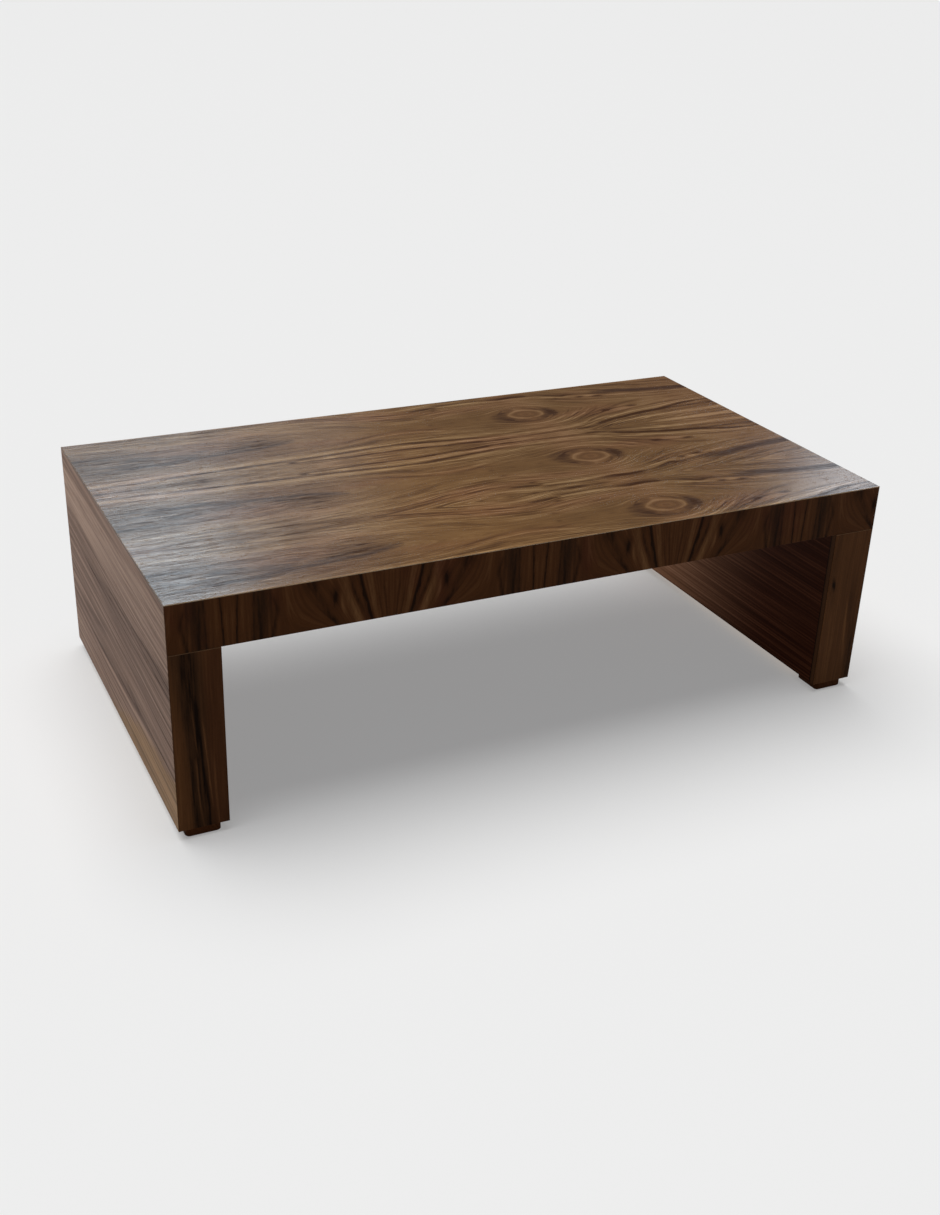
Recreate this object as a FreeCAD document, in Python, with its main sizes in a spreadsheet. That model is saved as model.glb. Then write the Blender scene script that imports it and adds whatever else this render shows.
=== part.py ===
import FreeCAD, Part
import Sketcher
import os

# A long low table: a thick top that turns straight down at both ends into slab legs, on four block feet.
# Millimetres, +Z up, origin on the floor under the middle of the top. X is the length, the front faces -Y.
# Under the veneer the top is a torsion box and each leg is a panelled frame. Dowels join them end to end.

doc = FreeCAD.newDocument("waterfall_table")
sizes = doc.addObject("Spreadsheet::Sheet", "Sizes")
driving_sizes = {
    # The whole table
    "table_length": 1220,
    "table_depth": 667,
    "table_height": 381,
    "slab_thickness": 77,
    "leg_thickness": 77,
    # Veneer: book-matched leaves of one width, with the top's front leaf and both ends of the edges trimmed
    "veneer_thickness": 1.2,
    "arris_radius": 0.8,
    "top_leaf_count": 3,
    "front_leaf_width": 183,
    "edge_leaf_count": 6,
    "edge_first_leaf_width": 90,
    "edge_last_leaf_width": 162,
    # Panels, frames and ribs under the veneer
    "panel_thickness": 12,
    "rail_thickness": 36,
    "leg_rail_height": 50,
    "rib_thickness": 12,
    "cross_rib_count": 4,
    "long_rib_count": 2,
    "leg_rib_count": 2,
    # Joints
    "housing_depth": 6,
    "tenon_thickness": 16,
    "tenon_shoulder": 6,
    "tenon_length": 14,
    "joint_clearance": 0.1,
    "socket_spare": 1,
    "dowel_diameter": 10,
    "dowel_length": 60,
    "dowel_count": 4,
    # Feet and their screws
    "foot_height": 16,
    "foot_depth": 54,
    "foot_inset": 11.5,
    "foot_setback": 5,
    "foot_corner_radius": 7,
    "foot_chamfer": 1.5,
    "screw_diameter": 4.5,
    "screw_head_diameter": 9,
    "screw_length": 32,
    "screw_point": 5,
    "screw_recess": 0.5,
}
for row, (alias, value) in enumerate(driving_sizes.items(), start=1):
    sizes.set(f"A{row}", alias)
    sizes.set(f"B{row}", str(value))
    sizes.setAlias(f"B{row}", alias)
doc.recompute()

# Derived sizes and levels, as expressions on the sheet
half_length = "(Sizes.table_length / 2)"
half_depth = "(Sizes.table_depth / 2)"
veneer = "Sizes.veneer_thickness"
panel = "Sizes.panel_thickness"
rail = "Sizes.rail_thickness"
rib = "Sizes.rib_thickness"
housing = "Sizes.housing_depth"
slot = "(Sizes.rib_thickness + Sizes.joint_clearance)"
eased = "min(Sizes.arris_radius; 0.7 * Sizes.veneer_thickness)"
top_leaf_width = "((Sizes.table_depth - Sizes.front_leaf_width) / (Sizes.top_leaf_count - 1))"
trimmed_width = "(Sizes.edge_first_leaf_width + Sizes.edge_last_leaf_width)"
edge_leaf_width = f"((Sizes.table_length - {trimmed_width}) / (Sizes.edge_leaf_count - 2))"

slab_bottom = "(Sizes.table_height - Sizes.slab_thickness)"
joint_level = f"({slab_bottom} + {veneer})"
core_top = f"(Sizes.table_height - {veneer})"
core_left = f"(-{half_length} + {veneer})"
core_front = f"(-{half_depth} + {veneer})"
core_length = f"(Sizes.table_length - 2 * {veneer})"
core_depth = f"(Sizes.table_depth - 2 * {veneer})"
clear_depth = f"({core_depth} - 2 * {rail})"

grid_bottom = f"({joint_level} + {panel})"
grid_height = f"(Sizes.slab_thickness - 2 * {veneer} - 2 * {panel})"
block_width = f"(Sizes.leg_thickness - 2 * {veneer})"
block_height = f"({grid_height} + {panel})"
clear_span = f"({core_length} - 2 * {block_width})"
housed_span = f"({clear_span} + 2 * {housing})"
housed_left = f"({core_left} + {block_width} - {housing})"
cross_pitch = f"({clear_span} / (Sizes.cross_rib_count + 1))"
long_pitch = f"({clear_depth} / (Sizes.long_rib_count + 1))"

leg_bottom = "Sizes.foot_height"
leg_height = f"({joint_level} - {leg_bottom})"
frame_width = f"({block_width} - 2 * {panel})"
stile_height = f"({leg_height} - 2 * Sizes.leg_rail_height)"
leg_rib_pitch = f"({clear_depth} / (Sizes.leg_rib_count + 1))"
mortise_depth = "(Sizes.tenon_length + Sizes.socket_spare)"
tenon_width = f"({rail} - 2 * Sizes.tenon_shoulder)"

dowel_pitch = f"({clear_depth} / Sizes.dowel_count)"
dowel_bottom = f"({joint_level} - Sizes.dowel_length / 2)"
dowel_socket = "(Sizes.dowel_length / 2 + Sizes.socket_spare)"
first_dowel = f"({rail} + {dowel_pitch} / 2)"
dowel_hole_radius = "(Sizes.dowel_diameter / 2 + Sizes.joint_clearance)"

foot_width = "(Sizes.leg_thickness - 2 * Sizes.foot_inset)"
leg_middle = f"({half_length} - Sizes.leg_thickness / 2)"
foot_middle = f"({half_depth} - Sizes.foot_setback - Sizes.foot_depth / 2)"
screw_hole_radius = "(Sizes.screw_diameter / 2 + Sizes.joint_clearance)"
countersink = "(Sizes.screw_head_diameter / 2 + Sizes.screw_recess - Sizes.screw_diameter / 2)"
pilot_depth = "(Sizes.screw_recess + Sizes.screw_length - Sizes.foot_height + Sizes.socket_spare)"

pieces = []
cuts = []


def number(expression):
    return float(sizes.evalExpression(expression))


def count_of(alias):
    return int(round(number(f"Sizes.{alias}")))


# Drawing and feature helpers


def place(piece, x, y, z):
    for axis, expression in zip("xyz", (x, y, z)):
        piece.setExpression(f"Placement.Base.{axis}", expression)


def board(label, corner, size):
    piece = doc.addObject("Part::Box", label)
    piece.Label = label
    for edge, expression in zip(("Length", "Width", "Height"), size):
        piece.setExpression(edge, expression)
    place(piece, *corner)
    pieces.append(piece)
    return piece


def new_body(label, corner):
    body = doc.addObject("PartDesign::Body", label)
    body.Label = label
    place(body, *corner)
    pieces.append(body)
    return body


def origin_feature(body, role):
    return next(feature for feature in body.Origin.OriginFeatures if feature.Role == role)


def new_sketch(body, name, plane, lift="0"):
    sketch = body.newObject("Sketcher::SketchObject", name)
    sketch.AttachmentSupport = [(origin_feature(body, plane), "")]
    sketch.MapMode = "FlatFace"
    sketch.setExpression("AttachmentOffset.Base.z", lift)
    return sketch


def bind(sketch, kind, elements, expression):
    index = sketch.addConstraint(Sketcher.Constraint(kind, *elements, number(expression)))
    sketch.setExpression(f"Constraints[{index}]", expression)


def add_outline(sketch, corners):
    # A closed outline of straight lines, each corner bound to its own pair of expressions
    points = [FreeCAD.Vector(number(x), number(y), 0) for x, y in corners]
    following = points[1:] + points[:1]
    lines = sketch.addGeometry([Part.LineSegment(a, b) for a, b in zip(points, following)])
    for line, after in zip(lines, lines[1:] + lines[:1]):
        sketch.addConstraint(Sketcher.Constraint("Coincident", line, 2, after, 1))
    for line, (x, y) in zip(lines, corners):
        bind(sketch, "DistanceX", (-1, 1, line, 1), x)
        bind(sketch, "DistanceY", (-1, 1, line, 1), y)


def add_rectangle(sketch, x, y, width, height):
    x_end = f"({x} + {width})"
    y_end = f"({y} + {height})"
    add_outline(sketch, [(x, y), (x_end, y), (x_end, y_end), (x, y_end)])


def add_circle(sketch, x, y, radius):
    centre = FreeCAD.Vector(number(x), number(y), 0)
    circle = sketch.addGeometry(Part.Circle(centre, FreeCAD.Vector(0, 0, 1), number(radius)))
    bind(sketch, "DistanceX", (-1, 1, circle, 3), x)
    bind(sketch, "DistanceY", (-1, 1, circle, 3), y)
    bind(sketch, "Radius", (circle,), radius)


def pad(body, sketch, length):
    feature = body.newObject("PartDesign::Pad", "pad")
    feature.Profile = sketch
    feature.setExpression("Length", length)
    return feature


def pocket(body, sketch, depth, against_normal=True):
    feature = body.newObject("PartDesign::Pocket", "pocket")
    feature.Profile = sketch
    feature.Reversed = not against_normal
    feature.setExpression("Length", depth)
    cuts.append(feature)
    return feature


def repeat(body, feature, axis, count, pitch):
    pattern = body.newObject("PartDesign::LinearPattern", "row")
    pattern.Originals = [feature]
    pattern.Direction = (origin_feature(body, axis), [""])
    pattern.Mode = "Spacing"
    pattern.setExpression("Occurrences", count)
    pattern.setExpression("Offset", pitch)
    body.Tip = pattern
    return pattern


box_sides = {
    "left": ("XMin", "XMax", "XMin"),
    "right": ("XMin", "XMax", "XMax"),
    "front": ("YMin", "YMax", "YMin"),
    "back": ("YMin", "YMax", "YMax"),
    "bottom": ("ZMin", "ZMax", "ZMin"),
    "top": ("ZMin", "ZMax", "ZMax"),
}
edge_tolerance = 0.001


def lies_on(edge, shape, side):
    low, high, end = box_sides[side]
    level = getattr(shape.BoundBox, end)
    return all(abs(getattr(edge.BoundBox, limit) - level) < edge_tolerance for limit in (low, high))


def edges_on(feature, corners, extra_test=None):
    # Names of the edges that lie on every side named in one of the corners, such as ("top", "front")
    doc.recompute()
    found = []
    for index, edge in enumerate(feature.Shape.Edges, start=1):
        on_corner = any(all(lies_on(edge, feature.Shape, side) for side in corner) for corner in corners)
        if on_corner and (extra_test is None or extra_test(edge)):
            found.append(f"Edge{index}")
    return found


def fillet(body, feature, corners, radius):
    rounding = body.newObject("PartDesign::Fillet", "rounding")
    rounding.Base = (feature, edges_on(feature, corners))
    rounding.setExpression("Radius", radius)
    return rounding


def chamfer(body, feature, edges, size):
    bevel = body.newObject("PartDesign::Chamfer", "bevel")
    bevel.Base = (feature, edges)
    bevel.setExpression("Size", size)
    return bevel


def stock(label, corner, width, depth, height):
    # A body that starts as a plain board, with its own corner at the origin of its sketches
    body = new_body(label, corner)
    section = new_sketch(body, "section", "XY_Plane")
    add_rectangle(section, "0", "0", width, depth)
    return body, pad(body, section, height)


def turned(body, sketch, outline):
    add_outline(sketch, outline)
    feature = body.newObject("PartDesign::Revolution", "turned")
    feature.Profile = sketch
    feature.ReferenceAxis = (sketch, ["V_Axis"])
    feature.Angle = 360
    return feature


# The slab: end blocks, rails and a grid of half-lapped ribs, between two panels


def make_slab_panels():
    board("top_panel", (core_left, core_front, f"{core_top} - {panel}"), (core_length, core_depth, panel))
    board("underside_panel", (f"-{clear_span} / 2", core_front, joint_level), (clear_span, core_depth, panel))


def make_end_block(label, block_left, housing_left):
    # A solid beam over the leg. The rails and long ribs are housed in its inner face, above the panel
    body, _ = stock(label, (block_left, core_front, joint_level), block_width, core_depth, block_height)
    holes = new_sketch(body, "dowel_sockets", "XY_Plane")
    add_circle(holes, f"{block_width} / 2", first_dowel, dowel_hole_radius)
    bored = pocket(body, holes, dowel_socket, against_normal=False)
    repeat(body, bored, "Y_Axis", "Sizes.dowel_count", dowel_pitch)
    rail_housings = new_sketch(body, "rail_housings", "XY_Plane", panel)
    for housing_front in ("0", f"({core_depth} - {rail})"):
        add_rectangle(rail_housings, housing_left, housing_front, housing, rail)
    pocket(body, rail_housings, grid_height, against_normal=False)
    rib_housing = new_sketch(body, "rib_housing", "XY_Plane", panel)
    add_rectangle(rib_housing, housing_left, f"({rail} + {long_pitch} - {slot} / 2)", housing, slot)
    cut = pocket(body, rib_housing, grid_height, against_normal=False)
    repeat(body, cut, "Y_Axis", "Sizes.long_rib_count", long_pitch)


def make_slab_rail(label, rail_front, housing_front):
    body, _ = stock(label, (housed_left, rail_front, grid_bottom), housed_span, rail, grid_height)
    rib_housing = new_sketch(body, "rib_housing", "XY_Plane")
    add_rectangle(rib_housing, f"({housing} + {cross_pitch} - {slot} / 2)", housing_front, slot, housing)
    cut = pocket(body, rib_housing, grid_height, against_normal=False)
    repeat(body, cut, "X_Axis", "Sizes.cross_rib_count", cross_pitch)


def make_long_rib(index):
    # Notched from above, so that the cross ribs drop into it
    rib_front = f"{core_front} + {rail} + {index} * {long_pitch} - {rib} / 2"
    corner = (housed_left, rib_front, grid_bottom)
    body, _ = stock(f"slab_long_rib_{index}", corner, housed_span, rib, grid_height)
    notch = new_sketch(body, "half_lap", "XZ_Plane")
    half_height = f"({grid_height} / 2)"
    add_rectangle(notch, f"({housing} + {cross_pitch} - {slot} / 2)", half_height, slot, half_height)
    lap = pocket(body, notch, rib)
    repeat(body, lap, "X_Axis", "Sizes.cross_rib_count", cross_pitch)


def make_cross_rib(index):
    # Notched from below, to sit over the long ribs
    rib_left = f"{core_left} + {block_width} + {index} * {cross_pitch} - {rib} / 2"
    corner = (rib_left, f"{core_front} + {rail} - {housing}", grid_bottom)
    depth = f"({clear_depth} + 2 * {housing})"
    body, _ = stock(f"slab_cross_rib_{index}", corner, rib, depth, grid_height)
    notch = new_sketch(body, "half_lap", "YZ_Plane")
    add_rectangle(notch, f"({housing} + {long_pitch} - {slot} / 2)", "0", slot, f"{grid_height} / 2")
    lap = pocket(body, notch, rib, against_normal=False)
    repeat(body, lap, "Y_Axis", "Sizes.long_rib_count", long_pitch)


# The legs: two panels on a frame of rails, tenoned stiles and housed ribs


def add_leg_rail_joints(body, lift, from_below):
    # Mortises for both stiles and housings for the ribs, in the face of a rail that looks into the leg
    gap = "Sizes.joint_clearance"
    mortise_x = f"(({frame_width} - Sizes.tenon_thickness - {gap}) / 2)"
    mortise_y = f"(Sizes.tenon_shoulder - {gap} / 2)"
    width = f"(Sizes.tenon_thickness + {gap})"
    depth = f"({tenon_width} + {gap})"
    mortises = new_sketch(body, "stile_mortises", "XY_Plane", lift)
    add_rectangle(mortises, mortise_x, mortise_y, width, depth)
    add_rectangle(mortises, mortise_x, f"({core_depth} - {rail} + {mortise_y})", width, depth)
    pocket(body, mortises, mortise_depth, against_normal=not from_below)
    housings = new_sketch(body, "rib_housing", "XY_Plane", lift)
    add_rectangle(housings, "0", f"({rail} + {leg_rib_pitch} - {slot} / 2)", frame_width, slot)
    cut = pocket(body, housings, housing, against_normal=not from_below)
    repeat(body, cut, "Y_Axis", "Sizes.leg_rib_count", leg_rib_pitch)


def make_leg_top_rail(side, frame_left):
    height = "Sizes.leg_rail_height"
    corner = (frame_left, core_front, f"{joint_level} - {height}")
    body, _ = stock(f"{side}_leg_top_rail", corner, frame_width, core_depth, height)
    holes = new_sketch(body, "dowel_sockets", "XY_Plane", height)
    add_circle(holes, f"{frame_width} / 2", first_dowel, dowel_hole_radius)
    bored = pocket(body, holes, dowel_socket)
    repeat(body, bored, "Y_Axis", "Sizes.dowel_count", dowel_pitch)
    add_leg_rail_joints(body, "0", from_below=True)


def make_leg_bottom_rail(side, frame_left):
    height = "Sizes.leg_rail_height"
    corner = (frame_left, core_front, leg_bottom)
    body, _ = stock(f"{side}_leg_bottom_rail", corner, frame_width, core_depth, height)
    holes = new_sketch(body, "screw_pilots", "XY_Plane")
    for foot_y in (f"({core_depth} / 2 - {foot_middle})", f"({core_depth} / 2 + {foot_middle})"):
        add_circle(holes, f"{frame_width} / 2", foot_y, screw_hole_radius)
    pocket(body, holes, pilot_depth, against_normal=False)
    add_leg_rail_joints(body, height, from_below=False)


def make_leg_stile(label, frame_left, stile_front):
    tenon = "Sizes.tenon_length"
    corner = (frame_left, stile_front, f"{leg_bottom} + Sizes.leg_rail_height - {tenon}")
    body = new_body(label, corner)
    tenon_section = new_sketch(body, "tenon_section", "XY_Plane")
    tenon_x = f"(({frame_width} - Sizes.tenon_thickness) / 2)"
    add_rectangle(tenon_section, tenon_x, "Sizes.tenon_shoulder", "Sizes.tenon_thickness", tenon_width)
    pad(body, tenon_section, f"{stile_height} + 2 * {tenon}")
    stile_section = new_sketch(body, "stile_section", "XY_Plane", tenon)
    add_rectangle(stile_section, "0", "0", frame_width, rail)
    pad(body, stile_section, stile_height)


def make_leg_core(side, core_x):
    panel_size = (panel, core_depth, leg_height)
    panel_places = {"left": core_x, "right": f"{core_x} + {block_width} - {panel}"}
    inner_side = "right" if side == "left" else "left"
    board(f"{side}_leg_outer_panel", (panel_places[side], core_front, leg_bottom), panel_size)
    board(f"{side}_leg_inner_panel", (panel_places[inner_side], core_front, leg_bottom), panel_size)
    frame_left = f"({core_x} + {panel})"
    make_leg_top_rail(side, frame_left)
    make_leg_bottom_rail(side, frame_left)
    make_leg_stile(f"{side}_leg_front_stile", frame_left, core_front)
    make_leg_stile(f"{side}_leg_back_stile", frame_left, f"{core_front} + {core_depth} - {rail}")
    rib_bottom = f"{leg_bottom} + Sizes.leg_rail_height - {housing}"
    rib_size = (frame_width, rib, f"{stile_height} + 2 * {housing}")
    for index in range(1, count_of("leg_rib_count") + 1):
        rib_front = f"{core_front} + {rail} + {index} * {leg_rib_pitch} - {rib} / 2"
        board(f"{side}_leg_rib_{index}", (frame_left, rib_front, rib_bottom), rib_size)


def make_dowels(side, middle):
    body = new_body(f"{side}_leg_dowels", (middle, f"{core_front} + {first_dowel}", dowel_bottom))
    body.AllowCompound = True
    section = new_sketch(body, "section", "XY_Plane")
    add_circle(section, "0", "0", "Sizes.dowel_diameter / 2")
    dowel = pad(body, section, "Sizes.dowel_length")
    repeat(body, dowel, "Y_Axis", "Sizes.dowel_count", dowel_pitch)


# The feet: blocks with rounded corners, each held by a countersunk screw


def make_foot(label, foot_left, foot_front):
    corner = (foot_left, foot_front, "0")
    body, block = stock(label, corner, foot_width, "Sizes.foot_depth", "Sizes.foot_height")
    upright = [(across, along) for across in ("left", "right") for along in ("front", "back")]
    rounded = fillet(body, block, upright, "Sizes.foot_corner_radius")
    bevelled = chamfer(body, rounded, edges_on(rounded, [("bottom",)]), "Sizes.foot_chamfer")
    hole = new_sketch(body, "screw_hole", "XY_Plane")
    add_circle(hole, f"{foot_width} / 2", "Sizes.foot_depth / 2", screw_hole_radius)
    bored = pocket(body, hole, "Sizes.foot_height", against_normal=False)
    rim = edges_on(bored, [("bottom",)], extra_test=lambda edge: edge.isClosed())
    chamfer(body, bored, rim, countersink)


def make_foot_screws():
    # One screw is turned, then mirrored to the other three feet
    body = new_body("foot_screws", ("0", "0", "0"))
    body.AllowCompound = True
    half_section = new_sketch(body, "half_section", "XZ_Plane", foot_middle)
    half_section.setExpression("AttachmentOffset.Base.x", f"-{leg_middle}")
    half_section.setExpression("AttachmentOffset.Base.y", "Sizes.screw_recess")
    head = "Sizes.screw_head_diameter / 2"
    shank = "Sizes.screw_diameter / 2"
    length = "Sizes.screw_length"
    outline = [
        ("0", "0"),
        (head, "0"),
        (shank, f"({head} - {shank})"),
        (shank, f"({length} - Sizes.screw_point)"),
        ("0", length),
    ]
    screw = turned(body, half_section, outline)
    group = body.newObject("PartDesign::MultiTransform", "four_feet")
    mirrors = []
    for name, plane in (("front_to_back", "XZ_Plane"), ("left_to_right", "YZ_Plane")):
        mirror = doc.addObject("PartDesign::Mirrored", name)
        body.addObject(mirror)
        mirror.MirrorPlane = (origin_feature(body, plane), [""])
        mirrors.append(mirror)
    group.Originals = [screw]
    group.Transformations = mirrors
    body.Tip = group


# The veneer: sheets laid over the core, with eased outer arrises


def sheet(label, corner, size, eased_corners):
    body, leaf = stock(label, corner, *size)
    fillet(body, leaf, eased_corners, eased)


def make_top_leaves():
    # Numbered from the back to the front
    count = count_of("top_leaf_count")
    for index in range(1, count + 1):
        width = top_leaf_width
        leaf_front = f"{half_depth} - {index} * {top_leaf_width}"
        eased_corners = [("top", "left"), ("top", "right")]
        if index == 1:
            eased_corners.append(("top", "back"))
        if index == count:
            width = "Sizes.front_leaf_width"
            leaf_front = f"-{half_depth}"
            eased_corners.append(("top", "front"))
        corner = (f"-{half_length}", leaf_front, core_top)
        sheet(f"top_leaf_{index}", corner, ("Sizes.table_length", width, veneer), eased_corners)


def make_edge_leaves(face, leaf_front):
    # Numbered from the left to the right, between the side veneers
    count = count_of("edge_leaf_count")
    height = f"(Sizes.slab_thickness - {veneer})"
    for index in range(1, count + 1):
        width = edge_leaf_width
        leaf_left = f"(-{half_length} + Sizes.edge_first_leaf_width + {index - 2} * {edge_leaf_width})"
        if index == 1:
            width = f"(Sizes.edge_first_leaf_width - {veneer})"
            leaf_left = core_left
        if index == count:
            width = f"(Sizes.edge_last_leaf_width - {veneer})"
        corner = (leaf_left, leaf_front, slab_bottom)
        sheet(f"{face}_edge_leaf_{index}", corner, (width, veneer, height), [(face, "bottom")])


def make_leg_veneers(side):
    inner_side = "right" if side == "left" else "left"
    side_left = {"left": f"-{half_length}", "right": f"{half_length} - {veneer}"}[side]
    side_size = (veneer, "Sizes.table_depth", f"{core_top} - {leg_bottom}")
    side_corners = [(side, "front"), (side, "back"), (side, "bottom")]
    sheet(f"{side}_side_veneer", (side_left, f"-{half_depth}", leg_bottom), side_size, side_corners)

    inner_left = {
        "left": f"-{half_length} + Sizes.leg_thickness - {veneer}",
        "right": f"{half_length} - Sizes.leg_thickness",
    }[side]
    clear_height = f"{slab_bottom} - {leg_bottom}"
    inner_size = (veneer, core_depth, clear_height)
    board(f"{side}_leg_inner_veneer", (inner_left, core_front, leg_bottom), inner_size)

    band_left = {"left": core_left, "right": f"{half_length} - Sizes.leg_thickness"}[side]
    band_size = (f"Sizes.leg_thickness - {veneer}", veneer, clear_height)
    for face, band_front in (("front", f"-{half_depth}"), ("back", f"{half_depth} - {veneer}")):
        band_corners = [(face, "top"), (face, "bottom"), (face, inner_side)]
        sheet(f"{side}_leg_{face}_band", (band_left, band_front, leg_bottom), band_size, band_corners)


def make_underside_veneer():
    # It stops at the leg cores, which stand straight under the underside panel
    corner = (f"-{clear_span} / 2", core_front, slab_bottom)
    board("underside_veneer", corner, (clear_span, core_depth, veneer))


make_slab_panels()
make_end_block("slab_left_end_block", core_left, f"({block_width} - {housing})")
make_end_block("slab_right_end_block", f"{core_left} + {core_length} - {block_width}", "0")
make_slab_rail("slab_front_rail", core_front, f"({rail} - {housing})")
make_slab_rail("slab_back_rail", f"{core_front} + {core_depth} - {rail}", "0")
for number_in_row in range(1, count_of("long_rib_count") + 1):
    make_long_rib(number_in_row)
for number_in_row in range(1, count_of("cross_rib_count") + 1):
    make_cross_rib(number_in_row)

make_leg_core("left", core_left)
make_leg_core("right", f"({half_length} - Sizes.leg_thickness + {veneer})")
make_dowels("left", f"-{leg_middle}")
make_dowels("right", leg_middle)

for end, towards_end in (("front", "-"), ("back", "")):
    for side, towards_side in (("left", "-"), ("right", "")):
        foot_left = f"{towards_side}{leg_middle} - {foot_width} / 2"
        foot_front = f"{towards_end}{foot_middle} - Sizes.foot_depth / 2"
        make_foot(f"{end}_{side}_foot", foot_left, foot_front)
make_foot_screws()

make_top_leaves()
make_edge_leaves("front", f"-{half_depth}")
make_edge_leaves("back", f"{half_depth} - {veneer}")
make_leg_veneers("left")
make_leg_veneers("right")
make_underside_veneer()

doc.recompute()

# Nothing is written unless every feature is sound and every cut has taken something away
for item in doc.Objects:
    if {"Invalid", "Error"} & set(item.State):
        raise RuntimeError(f"{item.Label} failed: {item.State}")
for cut in cuts:
    if cut.Shape.Volume >= cut.BaseFeature.Shape.Volume:
        raise RuntimeError(f"{cut.Label} in {cut.getParentGeoFeatureGroup().Label} cut nothing")
for piece in pieces:
    if piece.Shape.isNull() or not piece.Shape.isValid():
        raise RuntimeError(f"{piece.Label} has no valid shape")

os.makedirs("parts", exist_ok=True)
for piece in pieces:
    piece.Shape.exportStep(f"parts/{piece.Label}.step")
print(f"{len(pieces)} sub-parts written")
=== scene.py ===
import math

import bpy
from mathutils import Matrix, Vector


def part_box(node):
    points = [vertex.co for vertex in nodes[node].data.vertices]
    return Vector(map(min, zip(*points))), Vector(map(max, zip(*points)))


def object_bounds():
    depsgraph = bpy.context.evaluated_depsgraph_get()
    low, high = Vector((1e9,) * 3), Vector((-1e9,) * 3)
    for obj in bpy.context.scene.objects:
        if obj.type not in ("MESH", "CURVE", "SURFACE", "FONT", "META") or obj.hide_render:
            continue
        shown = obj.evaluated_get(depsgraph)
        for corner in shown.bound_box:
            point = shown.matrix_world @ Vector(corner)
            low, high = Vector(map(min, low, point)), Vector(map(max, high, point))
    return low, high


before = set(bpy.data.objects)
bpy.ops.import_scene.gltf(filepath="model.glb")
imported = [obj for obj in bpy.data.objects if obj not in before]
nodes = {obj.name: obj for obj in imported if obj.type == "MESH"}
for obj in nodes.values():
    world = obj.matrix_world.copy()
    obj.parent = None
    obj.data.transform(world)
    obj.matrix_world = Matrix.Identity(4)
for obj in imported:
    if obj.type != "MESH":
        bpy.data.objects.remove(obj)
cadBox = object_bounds()  # the CAD model's own box
tableLow, tableHigh = cadBox
print("frame loaded:", len(nodes), "pieces")


# Sums on shader sockets: a Wire is one socket that adds and multiplies like a number
class Wire:
    def __init__(self, tree, socket):
        self.tree = tree
        self.socket = socket

    def __add__(self, other):
        return mathNode("ADD", self, other)

    def __sub__(self, other):
        return mathNode("SUBTRACT", self, other)

    def __rsub__(self, other):
        return mathNode("SUBTRACT", other, self)

    def __mul__(self, other):
        return mathNode("MULTIPLY", self, other)

    def __truediv__(self, other):
        return mathNode("DIVIDE", self, other)

    __radd__ = __add__
    __rmul__ = __mul__


def plug(value, socket):
    if isinstance(value, Wire):
        value.tree.links.new(value.socket, socket)
    else:
        socket.default_value = value


def mathNode(operation, *values):
    tree = next(value.tree for value in values if isinstance(value, Wire))
    node = tree.nodes.new("ShaderNodeMath")
    node.operation = operation
    for socket, value in zip(node.inputs, values):
        plug(value, socket)
    return Wire(tree, node.outputs[0])


def larger(first, second):
    return mathNode("MAXIMUM", first, second)


def root(wire):
    return mathNode("SQRT", wire)


def size(wire):
    return mathNode("ABSOLUTE", wire)


def bell(wire, width):
    share = wire / width
    return mathNode("EXPONENT", share * share * -1.0)


def step(wire, low, high):
    node = wire.tree.nodes.new("ShaderNodeMapRange")
    node.interpolation_type = "SMOOTHSTEP"
    plug(wire, node.inputs["Value"])
    node.inputs["From Min"].default_value = low
    node.inputs["From Max"].default_value = high
    return Wire(wire.tree, node.outputs["Result"])


def blendOf(share, first, second):  # first at share 0, second at share 1
    return first + (second - first) * share


# Layers of streaks: length, width, strength, seed, and octaves and roughness if they aren't the soft ones
softGrain = (2.0, 0.5)
fineGrain = (3.0, 0.6)


def streaks(along, across, layer, seed=0.0):  # noise about nought
    length, width, strength, layerSeed, octaves, rough = (*layer, *softGrain)[:6]
    tree = along.tree
    lengthwise = along / length
    crosswise = across / width
    spot = tree.nodes.new("ShaderNodeCombineXYZ")
    plug(lengthwise, spot.inputs["X"])
    plug(crosswise, spot.inputs["Y"])
    spot.inputs["Z"].default_value = layerSeed + seed
    noise = tree.nodes.new("ShaderNodeTexNoise")
    noise.inputs["Scale"].default_value = 1.0
    noise.inputs["Detail"].default_value = octaves
    noise.inputs["Roughness"].default_value = rough
    tree.links.new(spot.outputs[0], noise.inputs["Vector"])
    return (Wire(tree, noise.outputs["Fac"]) - 0.5) * strength


def ramp(wire, stops, mode="LINEAR"):
    node = wire.tree.nodes.new("ShaderNodeValToRGB")
    elements = node.color_ramp.elements
    node.color_ramp.interpolation = mode
    while len(elements) < len(stops):
        elements.new(0.5)
    for element, (place, colour) in zip(elements, stops):
        element.position = place
        element.color = (*colour, 1.0)
    plug(wire, node.inputs["Fac"])
    return Wire(wire.tree, node.outputs["Color"])


def levelRamp(wire, stops):  # a soft curve through (level, height) points
    low, high = stops[0][0], stops[-1][0]
    spread = [((level - low) / (high - low), (height, height, height)) for level, height in stops]
    return ramp((wire - low) / (high - low), spread, "EASE")


def curveThrough(wire, points):  # height of a smooth curve through (place, height) points
    low, high = points[0][0], points[-1][0]
    share = (wire - low) / (high - low)
    node = wire.tree.nodes.new("ShaderNodeFloatCurve")
    node.mapping.use_clip = False
    node.mapping.extend = "HORIZONTAL"
    curve = node.mapping.curves[0]
    while len(curve.points) < len(points):
        curve.points.new(0.5, 0.5)
    for point, (place, height) in zip(curve.points, points):
        point.location = ((place - low) / (high - low), height)
        point.handle_type = "AUTO_CLAMPED"
    node.mapping.update()
    plug(share, node.inputs["Value"])
    return Wire(wire.tree, node.outputs[0])


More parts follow.
